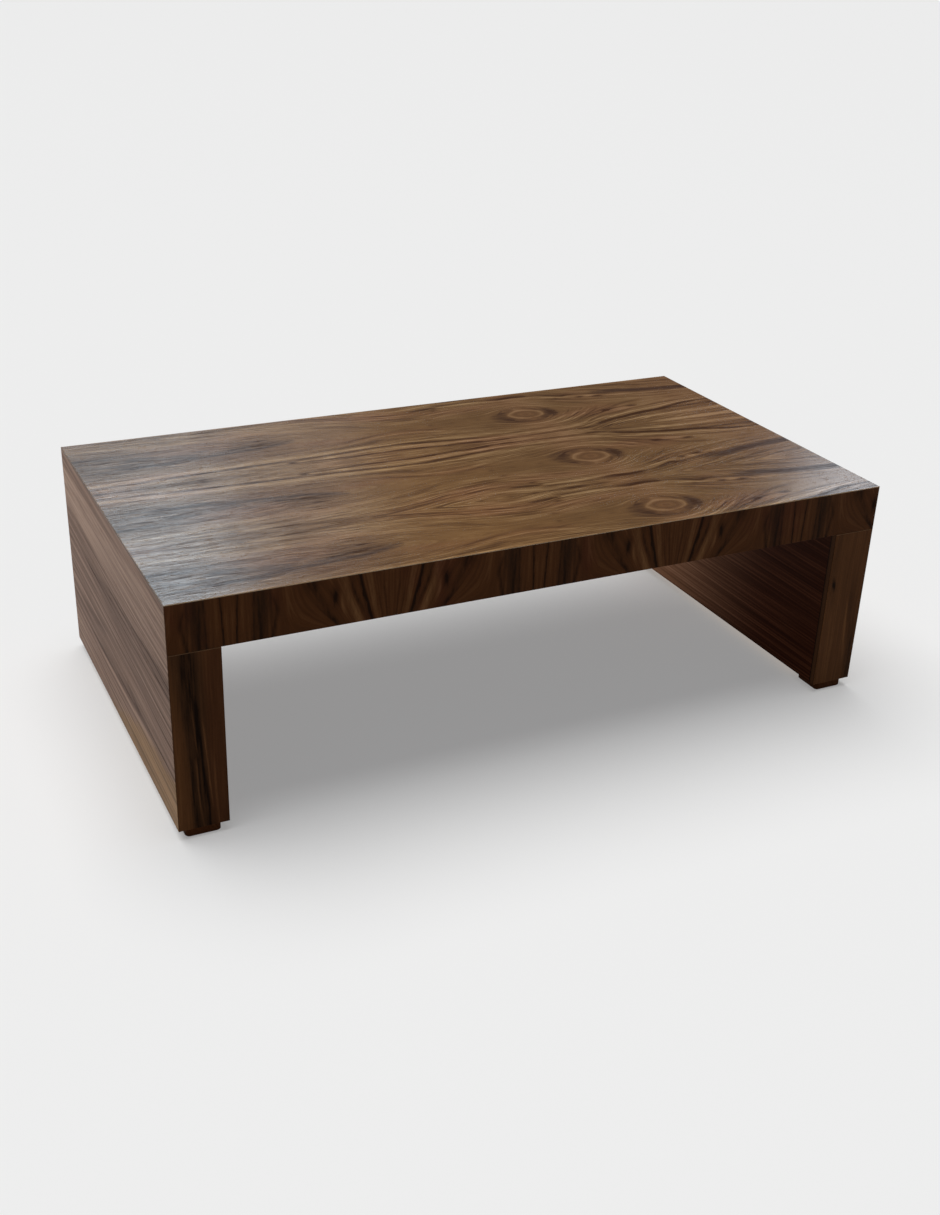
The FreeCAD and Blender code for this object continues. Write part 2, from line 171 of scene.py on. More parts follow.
def mixColour(share, first, second, mode="MIX"):
    tree = next(value.tree for value in (share, first, second) if isinstance(value, Wire))
    node = tree.nodes.new("ShaderNodeMix")
    node.data_type = "RGBA"
    node.blend_type = mode
    plug(share, node.inputs[0])
    for socket, value in ((node.inputs[6], first), (node.inputs[7], second)):
        plug(value if isinstance(value, Wire) else (*value, 1.0), socket)
    return Wire(tree, node.outputs[2])


def newFinish(name, paint, *details):  # a material, painted by where a point lies on the table
    material = bpy.data.materials.new(name)
    material.use_nodes = True
    tree = material.node_tree
    spot = tree.nodes.new("ShaderNodeTexCoord")
    split = tree.nodes.new("ShaderNodeSeparateXYZ")
    tree.links.new(spot.outputs["Object"], split.inputs[0])
    places = [Wire(tree, output) for output in split.outputs]
    paint(tree.nodes["Principled BSDF"], *places, *details)
    return material


def addBump(shader, height, look):
    tree = height.tree
    bump = tree.nodes.new("ShaderNodeBump")
    bump.inputs["Strength"].default_value = look["grainFeel"]
    bump.inputs["Distance"].default_value = look["grainDepth"]
    plug(height, bump.inputs["Height"])
    tree.links.new(bump.outputs["Normal"], shader.inputs["Normal"])


# Open pores and the satin varnish over them, the same on every veneer
poreLook = {
    "grain": (0.012, 0.0008, 1.0, 0.0, 1.0, 0.5),
    "span": (0.13, 0.24),  # where the noise turns into a pore
    "matt": 0.12,  # rougher in a pore
    "dull": 0.4,  # and less shiny
    "sunk": 0.6,
    "relief": 0.4,  # the grain between them
    "leastShine": 0.1,
}


def openPores(along, across, seed):
    return step(streaks(along, across, poreLook["grain"], seed), *poreLook["span"])


def lacquer(shader, colour, tone, pores, relief, look):
    plug(colour, shader.inputs["Base Color"])
    rough = look["gloss"] + tone * look["glossVaries"] + pores * poreLook["matt"]
    plug(rough, shader.inputs["Roughness"])
    shine = (tone - 0.5) * look["shineVaries"] + 1.0 - pores * poreLook["dull"]
    shine = larger(shine, poreLook["leastShine"]) * look["shine"]
    plug(shine, shader.inputs["Specular IOR Level"])
    addBump(shader, relief * poreLook["relief"] - pores * poreLook["sunk"], look)


def woodColour(tone, pores, look, shades=("dark", "plain", "light")):
    stops = [(place, look[shade]) for place, shade in zip((0.0, 0.5, 1.0), shades)]
    return ramp(tone - pores * look["poreDark"], stops)


mm = 0.001  # the drawn lines and flecks are in millimetres, all else is in metres
percent = 0.01


def drawLines(along, across, lines, kind):  # the lines of one kind, added up
    total = 0.0
    for lineKind, width, *points in lines.values():
        if lineKind == kind:
            middle = [(place * mm, height * mm) for place, height, strength in points]
            strong = [(place * mm, strength * percent) for place, height, strength in points]
            spread = bell(across - curveThrough(along, middle), width * mm)
            total = spread * curveThrough(along, strong) + total
    return total


def addFlecks(dark, along, across, flecks):
    for fleckAlong, fleckAcross, length, width, strength in flecks:
        spot = bell(along - fleckAlong * mm, length * mm) * bell(across - fleckAcross * mm, width * mm)
        dark = dark + spot * (strength * percent)
    return dark


# Lines of the figure, drawn as a veneer painter would, in millimetres: kind, half width, then along, across
# and strength in hundredths
leafLines = {
    "seamLine": ("dark", 4, (290, 22.5, 0), (320, 22.8, 22), (360, 23.2, 26), (400, 23, 22), (445, 22, 30),
        (475, 21, 50), (500, 21, 34), (530, 23, 50), (570, 22, 50), (603, 19.5, 36), (650, 15.5, 62),
        (685, 14.5, 60), (700, 13, 32), (730, 10.5, 50), (755, 11.5, 30), (800, 12.5, 26), (860, 13.5, 26),
        (885, 13, 34), (905, 13.5, 58), (920, 17.5, 50), (932, 23.5, 44), (945, 30, 76), (970, 38, 80),
        (1000, 45.2, 82), (1050, 55.5, 90), (1080, 60, 72), (1110, 62.5, 52), (1140, 62.5, 42),
        (1180, 63.5, 42), (1220, 66, 44)),
    "seamFork": ("dark", 4, (1095, 64, 0), (1115, 69, 34), (1135, 75, 50), (1165, 81, 52), (1220, 83, 48)),
    "seamGleam": ("light", 5.5, (390, 30, 0), (425, 31.5, 24), (460, 33.5, 26), (520, 35, 34),
        (560, 34, 36), (600, 31.5, 36), (650, 27.5, 34), (700, 25, 28), (760, 23.5, 24), (820, 25.5, 26),
        (870, 27.5, 30), (895, 31.5, 32), (930, 42.5, 34), (965, 52, 34), (1000, 59.5, 36), (1050, 69, 34),
        (1100, 78, 30), (1150, 88.5, 26), (1220, 93, 12)),
    "secondLine": ("dark", 4.6, (345, 38, 0), (370, 39, 40), (410, 41, 42), (450, 44, 30), (485, 47, 38),
        (525, 49.5, 40), (560, 48, 38), (610, 42, 42), (660, 36.5, 36), (710, 34, 26), (760, 36, 20),
        (820, 38.5, 16), (860, 43, 14), (900, 51, 22), (930, 63, 26), (960, 74, 28), (985, 86, 34),
        (1010, 101, 30), (1040, 116.5, 26), (1085, 127.5, 18), (1110, 129, 0)),
    "secondGleam": ("light", 5, (0, 35, 40), (80, 40, 42), (160, 44, 42), (240, 47.5, 40), (290, 49.5, 36),
        (340, 50.5, 34), (400, 52.5, 34), (440, 53.5, 30), (500, 56.5, 26), (560, 56.5, 26), (620, 53, 26),
        (690, 48, 22), (760, 45, 14), (830, 50, 0)),
    "leftLine": ("dark", 3.4, (60, 27, 0), (110, 30, 16), (165, 32, 24), (185, 33, 34), (205, 34.5, 32),
        (230, 35.5, 28), (265, 37.5, 42), (300, 38, 38), (330, 38.2, 26), (352, 38.5, 0)),
    "leftGleam": ("light", 3.2, (10, 15.5, 0), (30, 17, 44), (55, 18, 34), (90, 20, 16), (134, 22.5, 28),
        (170, 24.5, 36), (200, 25.5, 26), (235, 26.5, 16), (260, 27.2, 38), (300, 28, 44), (332, 28.7, 42),
        (342, 29, 0), (353, 29.3, 34), (400, 30, 34), (430, 30.5, 0)),
    "leftShade": ("grey", 24, (0, 86, 20), (60, 95, 28), (120, 105, 32), (180, 112, 30), (250, 118, 24),
        (310, 125, 16), (360, 130, 0)),
    "eyeFan": ("dark", 2.4, (872, 66, 0), (890, 71.5, 20), (919, 87, 26), (945, 108, 22), (962, 126, 0)),
    "eyeFanOuter": ("dark", 2.4, (880, 52.5, 0), (905, 60.5, 20), (935, 74.4, 24), (965, 96, 24),
        (990, 117, 0)),
    "eyeFanInner": ("dark", 2.2, (886, 87, 0), (900, 94, 20), (919, 109, 20), (935, 131, 0)),
    "eyeFanGleam": ("light", 2.4, (876, 59.5, 0), (900, 67, 20), (930, 81, 24), (955, 101, 22),
        (975, 120, 0)),
    "eyeFanFar": ("dark", 2.4, (880, 186, 0), (910, 177, 14), (945, 160, 18), (970, 142, 16),
        (985, 127, 0)),
    "forkGleam": ("light", 4.8, (1035, 0.5, 0), (1080, 1, 34), (1130, 1, 58), (1180, 1, 56),
        (1220, 1.5, 42)),
    "forkGlow": ("light", 24, (980, 20, 0), (1050, 24, 14), (1130, 28, 22), (1220, 30, 24)),
    "forkBand": ("dark", 6.6, (930, 23, 0), (960, 34.5, 24), (1000, 44.5, 32), (1050, 54.5, 34),
        (1085, 60, 26), (1120, 64, 0)),
    "forkThread": ("dark", 2.6, (965, 4, 0), (1020, 6.5, 16), (1080, 9.5, 18), (1140, 11.5, 22),
        (1220, 12.5, 28)),
    "forkLine": ("dark", 3.2, (925, 6, 0), (960, 11, 16), (1000, 15.5, 20), (1050, 19, 20),
        (1100, 21.5, 22), (1160, 23, 26), (1220, 24, 30)),
    "forkInner": ("light", 3.6, (930, 14, 0), (970, 22, 22), (1020, 29, 28), (1080, 34, 28), (1150, 37, 26),
        (1220, 38, 24)),
    "forkOuter": ("dark", 3, (990, 33, 0), (1060, 40.5, 18), (1120, 46.5, 20), (1170, 50, 20),
        (1220, 52, 20)),
    "thirdLine": ("dark", 4.5, (375, 64, 0), (420, 66, 20), (455, 69, 30), (490, 75, 28), (540, 79, 24),
        (590, 77, 24), (640, 70.5, 22), (690, 63, 20), (740, 59, 14), (790, 57, 0)),
    "flameNear": ("dark", 4, (415, 83, 0), (450, 89, 18), (490, 98.5, 20), (530, 108.5, 16), (570, 113, 14),
        (605, 109.5, 16), (640, 99, 18), (700, 83, 14), (760, 73, 10), (800, 69, 0)),
    "flameGleam": ("light", 4.2, (470, 82, 0), (493, 89.5, 8), (534, 100, 14), (570, 103.5, 16),
        (605, 100.5, 18), (636, 91.5, 16), (665, 82, 0)),
    "flameFar": ("dark", 4.5, (385, 189, 0), (420, 184, 16), (460, 176, 14), (495, 166, 14), (525, 154, 12),
        (545, 144, 0)),
    "farVee": ("dark", 2.9, (370, 241.5, 0), (402, 238.5, 22), (428, 232.6, 28), (455, 226.5, 30),
        (490, 218, 28), (525, 210, 26), (560, 204.5, 24), (590, 200, 18), (612, 197, 0)),
    "farVeeInner": ("dark", 2.8, (440, 240, 0), (500, 235, 13), (560, 227, 14), (620, 220, 6),
        (650, 216, 0)),
    "farBlotch": ("dark", 3.4, (625, 209.5, 0), (645, 209, 36), (670, 211, 46), (685, 211.5, 36),
        (695, 211.5, 0)),
    "farThread": ("dark", 3, (560, 180, 0), (618, 172, 18), (650, 172, 12), (700, 176, 16),
        (760, 176.5, 14), (800, 180, 0)),
    "farGleam": ("light", 4.5, (680, 218, 0), (700, 216.5, 34), (750, 216.5, 34), (800, 213, 32),
        (850, 207.5, 34), (890, 202, 28), (930, 193, 28), (965, 187, 24), (1000, 181, 28), (1040, 172, 28),
        (1090, 165.5, 26), (1150, 157, 22), (1220, 152, 12)),
    "farLine": ("dark", 4.6, (680, 222, 0), (700, 221.5, 32), (750, 221.8, 32), (795, 220.5, 36),
        (825, 217.5, 54), (850, 219.5, 62), (875, 218, 44), (900, 215.5, 14), (920, 210.5, 28),
        (938, 202.5, 50), (952, 197, 52), (965, 199, 30), (985, 199.5, 14), (1015, 199, 0)),
    "farBand": ("grey", 10, (1010, 198, 0), (1040, 194.5, 26), (1070, 190.5, 40), (1100, 184, 36),
        (1130, 179, 34), (1160, 174.5, 40), (1190, 171, 34), (1220, 168, 32)),
    "farBandHeart": ("dark", 8.5, (1000, 199, 0), (1040, 194.5, 20), (1075, 190, 32), (1110, 182.5, 28),
        (1150, 176.5, 30), (1190, 171, 26), (1220, 168, 24)),
    "farSeam": ("dark", 7, (600, 242.5, 0), (630, 242.5, 20), (670, 242.5, 32), (700, 242, 44),
        (740, 241, 46), (770, 239.5, 34), (805, 238, 14), (830, 237.5, 0)),
    "farKnot": ("dark", 6.2, (795, 220.5, 0), (825, 220.5, 32), (850, 221, 40), (872, 221.5, 34),
        (892, 221.5, 0)),
    "farThird": ("dark", 3, (965, 240.5, 0), (1000, 236, 22), (1050, 230, 26), (1095, 225.5, 30),
        (1130, 225, 32), (1170, 222, 22), (1220, 220, 18)),
    "featherMain": ("grey", 6.2, (30, 90, 0), (70, 94, 12), (115, 96, 24), (150, 98, 30), (180, 106, 30),
        (215, 107, 18), (245, 112, 22), (290, 114, 24), (325, 118, 34), (350, 125.5, 44), (370, 131, 32),
        (385, 134, 0)),
    "featherSecond": ("dark", 3.6, (255, 122, 0), (275, 126, 24), (300, 131, 28), (330, 136, 38),
        (350, 137.5, 28), (365, 141, 0)),
    "featherThird": ("grey", 7, (70, 128, 0), (100, 136, 28), (125, 137, 26), (145, 133, 0)),
    "featherFourth": ("grey", 4.2, (0, 158, 22), (40, 158, 26), (80, 160, 18), (120, 160, 20),
        (160, 155, 18), (190, 152, 0)),
    "leftFarGleam": ("light", 8, (80, 200, 0), (130, 192, 18), (190, 187, 20), (310, 187, 20),
        (360, 183, 18), (410, 178, 12), (450, 170, 0)),
    "leftSeamThread": ("dark", 1.8, (270, 234.5, 0), (310, 235.5, 20), (360, 236.5, 24), (400, 237.5, 16),
        (430, 238, 0)),
    "leftPatch": ("grey", 30, (0, 140, 30), (50, 143, 26), (100, 150, 16), (150, 150, 0)),
    "leftSeamGleam": ("light", 3, (255, 224, 0), (290, 223.5, 20), (340, 224.5, 20), (390, 228.5, 20),
        (420, 229, 0)),
}

# The figured leaf, as it was sliced: along runs with the grain, across from one seam to the next
leafFigure = {
    "width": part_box("top_leaf_2")[1].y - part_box("top_leaf_2")[0].y,
    "axis": 0.1215,
    "nearLine": (  # the line that the near half's rings keep to
        (0.0, 0.017), (0.2, 0.025), (0.43, 0.022), (0.53, 0.023), (0.65, 0.0155), (0.74, 0.0105),
        (0.9, 0.0135), (0.945, 0.03), (1.0, 0.045), (1.1, 0.062), (1.22, 0.082),
    ),
    "farLine": (  # and the far half's
        (0.0, 0.24), (0.3, 0.236), (0.455, 0.2265), (0.525, 0.21), (0.62, 0.195), (0.7, 0.206),
        (0.8, 0.208), (0.9, 0.199), (1.0, 0.181), (1.1, 0.164), (1.22, 0.152),
    ),
    "lineLevel": 0.1,  # ring level on those two lines
    "tips": (  # ring level on the axis: a flame to the left, closing in past the eye
        (0.0, -0.11), (0.36, -0.045), (0.56, 0.0), (0.86, 0.004), (0.95, 0.03), (1.04, 0.048), (1.22, 0.06),
    ),
    "tipRound": 0.055,  # how blunt the flame is
    # Streaks that keep to the rings
    "sway": (0.13, 0.045, 0.01, 3.1),
    "quiver": (0.035, 0.014, 0.004, 7.7),
    "bands": (0.45, 0.02, 0.45, 9.4),
    "stripes": (0.26, 0.007, 1.05, 1.3, *fineGrain),
    "threads": (0.09, 0.0028, 1.9, 5.9, 3.0, 0.65),
    "mottle": (0.05, 0.02, 0.3, 29.3),
    "ringTurns": 1150.0,  # fine growth lines, radians a metre
    "ringStrength": 0.14,
    "ringDrift": (0.15, 0.02, 9.0, 11.2),
    "ringPatches": (0.12, 0.03, 1.0, 15.8),
    "patchSpan": (-0.1, 0.1),
    # The figure is calmer inside the flame, along the axis and inside the fork
    "flameSpan": (0.03, 0.075),
    "flameShare": 0.75,
    "axisSpan": (0.008, 0.035),
    "axisShare": 0.35,
    "forkSpan": (1.1, 1.45),
    "forkShare": 0.45,
    # Curly, feathered figure in the left half
    "curlSpan": (0.3, 0.46),
    "curlElsewhere": 0.25,
    "curl": (0.07, 0.0036, 1.0, 19.3, 4.0, 0.6),
    "swirl": (0.06, 0.03, 0.018, 17.9),
    "curlTone": 1.1,
    # Raggedness of the drawn lines
    "ragged": (0.03, 0.0045, 1.0, 23.1, *fineGrain),
    "raggedEdge": 0.004,
    "wander": (0.05, 0.03, 0.004, 27.5),
    "unevenness": 2.2,
    "breaks": (0.04, 0.0065, 1.0, 28.7, *fineGrain),
    "breakSpan": (-0.2, 0.2),
    "greyRange": (0.45, 1.35),  # least and most
    "greyDarkens": 0.8,
    # The eye: a pale ring in a dark surround, strongest to the right and on the near left
    "eyeAlong": 0.835,
    "eyeStretch": 1.35,
    "eyeReach": 0.036,  # grain is pushed aside from here outwards
    "eyeHalf": (0.0375, 0.0252),  # half the pale ring's length and width
    "eyeWobble": (0.026, 0.019, 0.28, 4.2, *fineGrain),
    "eyeRings": (  # distance from the eye's middle, as a share of the ring's, and the tone there
        (0.0, 0.42), (0.12, 0.41), (0.27, 0.54), (0.4, 0.46), (0.54, 0.36), (0.66, 0.44), (0.79, 0.64),
        (0.89, 0.74), (0.98, 0.6), (1.1, 0.5),
    ),
    "eyeSpan": (1.15, 0.85),  # the eye takes over from the rings
    "eyeGrain": 0.55,
    "lineSpan": (0.95, 1.15),  # the drawn lines stop here
    "surroundRings": ((0.92, 0.0), (1.1, 0.7), (1.28, 1.0), (1.48, 0.6), (1.75, 0.0)),
    "surroundTurn": (  # strength by radians round the eye, from the left by way of the near side
        (-3.142, 0.45), (-2.85, 0.62), (-2.4, 0.8), (-1.8, 0.62), (-1.2, 0.42), (-0.7, 0.6),
        (-0.25, 0.92), (0.2, 0.88), (0.55, 0.55), (1.0, 0.34), (1.6, 0.42), (2.2, 0.58), (2.75, 0.5),
        (3.142, 0.45),
    ),
    "surroundReach": (  # how far it spreads, by the same turn
        (-3.142, 1.45), (-2.7, 1.75), (-2.25, 1.55), (-1.6, 1.15), (-0.9, 1.0), (-0.3, 1.2),
        (0.3, 1.15), (1.0, 0.85), (1.8, 0.85), (2.4, 1.0), (3.142, 1.45),
    ),
    "surroundDark": 0.5,
    "surroundGrey": 0.08,
    "flecks": (  # along, across, length, width, how dark
        (990, 90, 9, 5.2, 72), (1052, 97, 11, 4.4, 70), (1021, 174, 12, 4.6, 82), (985, 180, 8, 4.4, 60),
        (935, 188, 6, 5, 26), (680, 197.5, 7, 3.5, 42), (640, 124.5, 5, 4, 26), (648, 154, 8, 3.5, 30),
        (735, 122, 10, 5, 16), (160, 223, 8, 3.5, 34), (217, 136, 14, 3.5, 28), (180, 6, 7.5, 6, 26),
        (342, 30, 9.5, 5.8, 36), (10, 2, 9, 3, 36), (322, 151, 14, 3.5, 22),
    ),
    "poreSeed": 21.5,
}
leafOutputs = ("Tone", "Grey", "Pores", "Curl")


def ringLevel(along, across, look):  # even along the near and far lines, and pushed round the eye
    fromEye = (along - look["eyeAlong"]) / look["eyeStretch"]
    fromAxis = across - look["axis"]
    eyeSquare = fromEye * fromEye + fromAxis * fromAxis
    reachSquare = look["eyeReach"] ** 2
    pushed = fromAxis * (1.0 - mathNode("DIVIDE", reachSquare, larger(eyeSquare, reachSquare)))
    nearShare = pushed / (curveThrough(along, look["nearLine"]) - look["axis"])
    farShare = pushed / (curveThrough(along, look["farLine"]) - look["axis"])
    share = larger(nearShare, farShare)
    share = root(share * share + look["tipRound"] ** 2) - look["tipRound"]
    level = blendOf(share, curveThrough(along, look["tips"]), look["lineLevel"])
    level = level + streaks(along, across, look["sway"])
    level = level + streaks(along, across, look["quiver"])
    return level, nearShare


def ringTone(along, across, level, nearShare, look):  # bands, streaks and fine lines that keep to the rings
    offAxis = step(size(across - look["axis"]), *look["axisSpan"])
    lively = blendOf(step(level, *look["flameSpan"]), look["flameShare"], 1.0)
    lively = lively * blendOf(offAxis, look["axisShare"], 1.0)
    lively = lively * blendOf(step(nearShare, *look["forkSpan"]), 1.0, look["forkShare"])
    tone = streaks(along, level, look["bands"])
    tone = tone + streaks(along, level, look["stripes"]) * lively
    tone = tone + streaks(along, level, look["threads"]) * lively
    rings = mathNode("SINE", level * look["ringTurns"] + streaks(along, level, look["ringDrift"]))
    patches = step(streaks(along, level, look["ringPatches"]), *look["patchSpan"])
    tone = tone + rings * lively * patches * look["ringStrength"]
    return tone + streaks(along, across, look["mottle"])


def curlyFigure(along, across, look):
    leftHalf = 1.0 - step(along, *look["curlSpan"])
    swirl = streaks(along, across, look["swirl"])
    return streaks(along, across + swirl, look["curl"]) * blendOf(leftHalf, look["curlElsewhere"], 1.0)


def eyeFigure(along, across, look):  # distance from the eye, its rings and its surround
    fromEye = along - look["eyeAlong"]
    fromAxis = across - look["axis"]
    eyeWide = fromEye / look["eyeHalf"][0]
    eyeHigh = fromAxis / look["eyeHalf"][1]
    eyeShare = root(eyeWide * eyeWide + eyeHigh * eyeHigh) + streaks(along, across, look["eyeWobble"])
    eyeTone = levelRamp(eyeShare, look["eyeRings"]) - 0.5
    turn = mathNode("ARCTAN2", fromAxis, fromEye / look["eyeStretch"])
    strength = curveThrough(turn, look["surroundTurn"])
    spread = (eyeShare - 1.0) / curveThrough(turn, look["surroundReach"]) + 1.0
    return eyeShare, eyeTone, levelRamp(spread, look["surroundRings"]) * strength


def makeLeafGroup():
    look = leafFigure
    group = bpy.data.node_groups.new("figuredLeaf", "ShaderNodeTree")
    for name in ("Along", "Across"):
        group.interface.new_socket(name=name, in_out="INPUT", socket_type="NodeSocketFloat")
    for name in leafOutputs:
        group.interface.new_socket(name=name, in_out="OUTPUT", socket_type="NodeSocketFloat")
    start = group.nodes.new("NodeGroupInput")
    end = group.nodes.new("NodeGroupOutput")
    along = Wire(group, start.outputs["Along"])
    across = Wire(group, start.outputs["Across"])

    level, nearShare = ringLevel(along, across, look)
    tone = ringTone(along, across, level, nearShare, look)
    curl = curlyFigure(along, across, look)
    tone = tone + curl * look["curlTone"]

    # The drawn lines, a little ragged
    ragged = streaks(along, across, look["ragged"])
    lineAcross = across + streaks(along, across, look["wander"]) + ragged * look["raggedEdge"]
    uneven = ragged * look["unevenness"] + 1.0
    breaks = step(streaks(along, across, look["breaks"]), *look["breakSpan"])
    grey = drawLines(along, lineAcross, leafLines, "grey") * blendOf(breaks, *look["greyRange"])
    dark = drawLines(along, lineAcross, leafLines, "dark")
    light = drawLines(along, lineAcross, leafLines, "light")

    # The eye and the flecks over them
    eyeShare, eyeTone, surround = eyeFigure(along, across, look)
    tone = blendOf(step(eyeShare, *look["eyeSpan"]), tone, eyeTone + tone * look["eyeGrain"])
    dark = dark * step(eyeShare, *look["lineSpan"]) + surround * look["surroundDark"]
    grey = grey + surround * look["surroundGrey"]
    dark = addFlecks(dark, along, lineAcross, look["flecks"])
    tone = tone + (light - dark - grey * look["greyDarkens"]) * uneven + 0.5
    pores = openPores(along, level, look["poreSeed"])
    for name, wire in zip(leafOutputs, (tone, grey * uneven, pores, curl)):
        group.links.new(wire.socket, end.inputs[name])
    return group


def leafTone(group, along, across):
    node = along.tree.nodes.new("ShaderNodeGroup")
    node.node_tree = group
    plug(along, node.inputs["Along"])
    plug(across, node.inputs["Across"])
    return [Wire(along.tree, node.outputs[name]) for name in leafOutputs]


def foldedAcross(place, seam):  # book-matched leaves: every other one is turned over
    return mathNode("PINGPONG", place - seam, leafFigure["width"])


leafGroup = makeLeafGroup()
print("figured leaf ready:", len(leafGroup.nodes), "nodes")


# Top: three book-matched leaves, grain along the table
topLook = {
    "dark": (0.052, 0.0215, 0.0078),
    "plain": (0.156, 0.0768, 0.025),
    "light": (0.34, 0.205, 0.092),
    "poreDark": 0.1,
    "grey": (0.06, 0.036, 0.026),
    "blush": (1.06, 0.92, 1.05),  # pinkish clouds, at the right end and at the eyes
    "blushClouds": (0.26, 0.08, 1.0, 25.0),
    "blushSpan": (-0.05, 0.22),
    "blushStrength": 0.7,
    "blushEnd": (1.0, 1.18),
    "blushEyeWidth": 0.05,
    "blushElsewhere": 0.5,
    "cloud": (1.24, 1.23, 1.2),  # paler wood
    "cloudAlong": 0.49,
    "cloudLength": 0.15,
    # a painted highlight along the front and back arrises, times the colour
    "arrisHighlight": (1.4, 1.45, 1.55),
    "arrisSpan": (0.0065, 0.0015),  # in from the front and back
    "leafEdgeHighlight": (0.3, 0.19, 0.095),  # the leaf's own edges, under its face, painted pale as a highlight along the arris
    "edgeSpan": (0.00005, 0.0002),
    "endEdge": (0.03, 0.014, 0.008),
    "endSpan": (0.0002, 0.0001),
    "curlShine": 1.8,
    "arrisShine": 0.6,
    "curlRelief": 2.6,
    "gloss": 0.29,
    "glossVaries": -0.04,
    "shine": 0.5,
    "shineVaries": 1.1,
    "grainDepth": 0.0004,
    "grainFeel": 0.35,
}


def nearEdge(place, edge, span):  # 1 close to an edge, on both sides of the middle
    return step(size(place), edge - span[0], edge - span[1])


def paintTop(shader, x, y, z):
    look = topLook
    along = x - tableLow.x
    across = foldedAcross(y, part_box("top_leaf_1")[0].y)
    tone, grey, pores, curl = leafTone(leafGroup, along, across)
    colour = woodColour(tone, pores, look)
    colour = mixColour(grey, colour, look["grey"])
    blush = step(streaks(x, across, look["blushClouds"]), *look["blushSpan"]) * look["blushStrength"]
    blush = larger(blush, step(along, *look["blushEnd"]) * look["blushElsewhere"])
    byEye = bell(along - leafFigure["eyeAlong"], look["blushEyeWidth"])
    blush = larger(blush, byEye * look["blushElsewhere"])
    colour = mixColour(blush, colour, look["blush"], "MULTIPLY")
    cloud = bell(along - look["cloudAlong"], look["cloudLength"])
    colour = mixColour(cloud, colour, look["cloud"], "MULTIPLY")
    arris = nearEdge(y, tableHigh.y, look["arrisSpan"])
    # painted highlight: paler along the front and back arrises
    colour = mixColour(arris, colour, look["arrisHighlight"], "MULTIPLY")
    below = step(tableHigh.z - z, *look["edgeSpan"])
    atEnd = nearEdge(x, tableHigh.x, look["endSpan"])
    # painted highlight: the leaf's edges paler than its face
    colour = mixColour(below, colour, look["leafEdgeHighlight"])
    colour = mixColour(below * atEnd, colour, look["endEdge"])
    sheen = tone + curl * look["curlShine"] + arris * look["arrisShine"]
    lacquer(shader, colour, sheen, pores, curl * look["curlRelief"], look)


dullSatin = {  # on the slab's edges, the legs and the faces between them
    "gloss": 0.55,
    "glossVaries": -0.05,
    "shine": 0.03,
    "shineVaries": 0.5,
    "grainDepth": 0.0003,
    "grainFeel": 0.25,
}

# Slab edges: six short leaves stood on end, with fans and feathers by turns at their seams
edgeLook = {
    # painted shade: these shades are far darker than the top's, for faces turned from the light
    "dark": (0.0125, 0.0046, 0.0018),
    "plain": (0.0575, 0.0195, 0.0054),
    "light": (0.135, 0.062, 0.023),
    "poreDark": 0.1,
    "grey": (0.0225, 0.0105, 0.0052),
    "greyStrength": 0.8,
    "greyDarkens": 0.7,
    "plum": (0.9, 0.72, 0.95),
    "plumClouds": (0.1, 0.06, 1.0, 51.5),
    "plumSpan": (-0.02, 0.18),
    "plumStrength": 0.6,
    "fanSpread": 5.0,  # how fast the fan opens upwards, for each metre
    "fanSpan": (0.06, 0.16),
    "sway": (0.06, 0.03, 0.004, 41.3),
    "bands": (0.16, 0.011, 0.55, 43.6, 3.0, 0.5),
    "threads": (0.07, 0.0036, 0.55, 45.1, *fineGrain),
    "ragged": (0.02, 0.004, 1.0, 47.9, *fineGrain),
    "raggedEdge": 0.004,
    "unevenness": 2.0,
    "poreSeed": 49.2,
    **dullSatin,
    "flecks": ((30, 155.5, 13.5, 5.5, 48), (6, 119, 12, 12, 24)),  # down, across, length, width, how dark
}
edgeLines = {  # down from the top, across from the feathered seam, strength
    "fanLine": ("dark", 2.7, (0, 193, 52), (20, 196.5, 60), (45, 203, 60), (77, 212, 64)),
    "fanOuter": ("dark", 4.6, (0, 179, 34), (30, 186, 38), (55, 196, 32), (77, 204, 16)),
    "fanThread": ("dark", 1.6, (0, 229, 26), (40, 231.5, 28), (77, 235, 28)),
    "fanInner": ("dark", 1.6, (0, 218, 16), (40, 222, 16), (77, 228, 12)),
    "fanGleam": ("light", 5, (0, 208, 14), (40, 213.5, 18), (77, 220, 16)),
    "outerGleam": ("light", 6, (0, 168, 14), (30, 176, 20), (60, 187, 28), (77, 194, 30)),
    "fleckGleam": ("light", 3, (20, 163, 0), (45, 166, 24), (77, 175, 0)),
    "slantBand": ("dark", 6.5, (0, 119, 20), (20, 127, 26), (40, 137, 28), (60, 149, 28), (77, 163, 24)),
    "seamThread": ("dark", 1.6, (0, 12.5, 46), (40, 10.5, 50), (77, 9.5, 50)),
    "thread": ("dark", 1.5, (0, 36, 22), (77, 34, 22)),
    "featherRim": ("dark", 3.2, (10, 64, 0), (25, 66.5, 30), (38, 68.5, 36), (55, 65.5, 30),
        (77, 61.5, 32)),
    "featherBody": ("grey", 17, (0, 48, 44), (20, 49, 46), (40, 49, 40), (60, 47, 34), (77, 46, 36)),
    "featherInner": ("dark", 2.1, (30, 44, 0), (50, 44.5, 34), (77, 44.5, 42)),
    "featherGleam": ("light", 2.2, (30, 56, 0), (50, 56.5, 14), (77, 56.5, 16)),
}


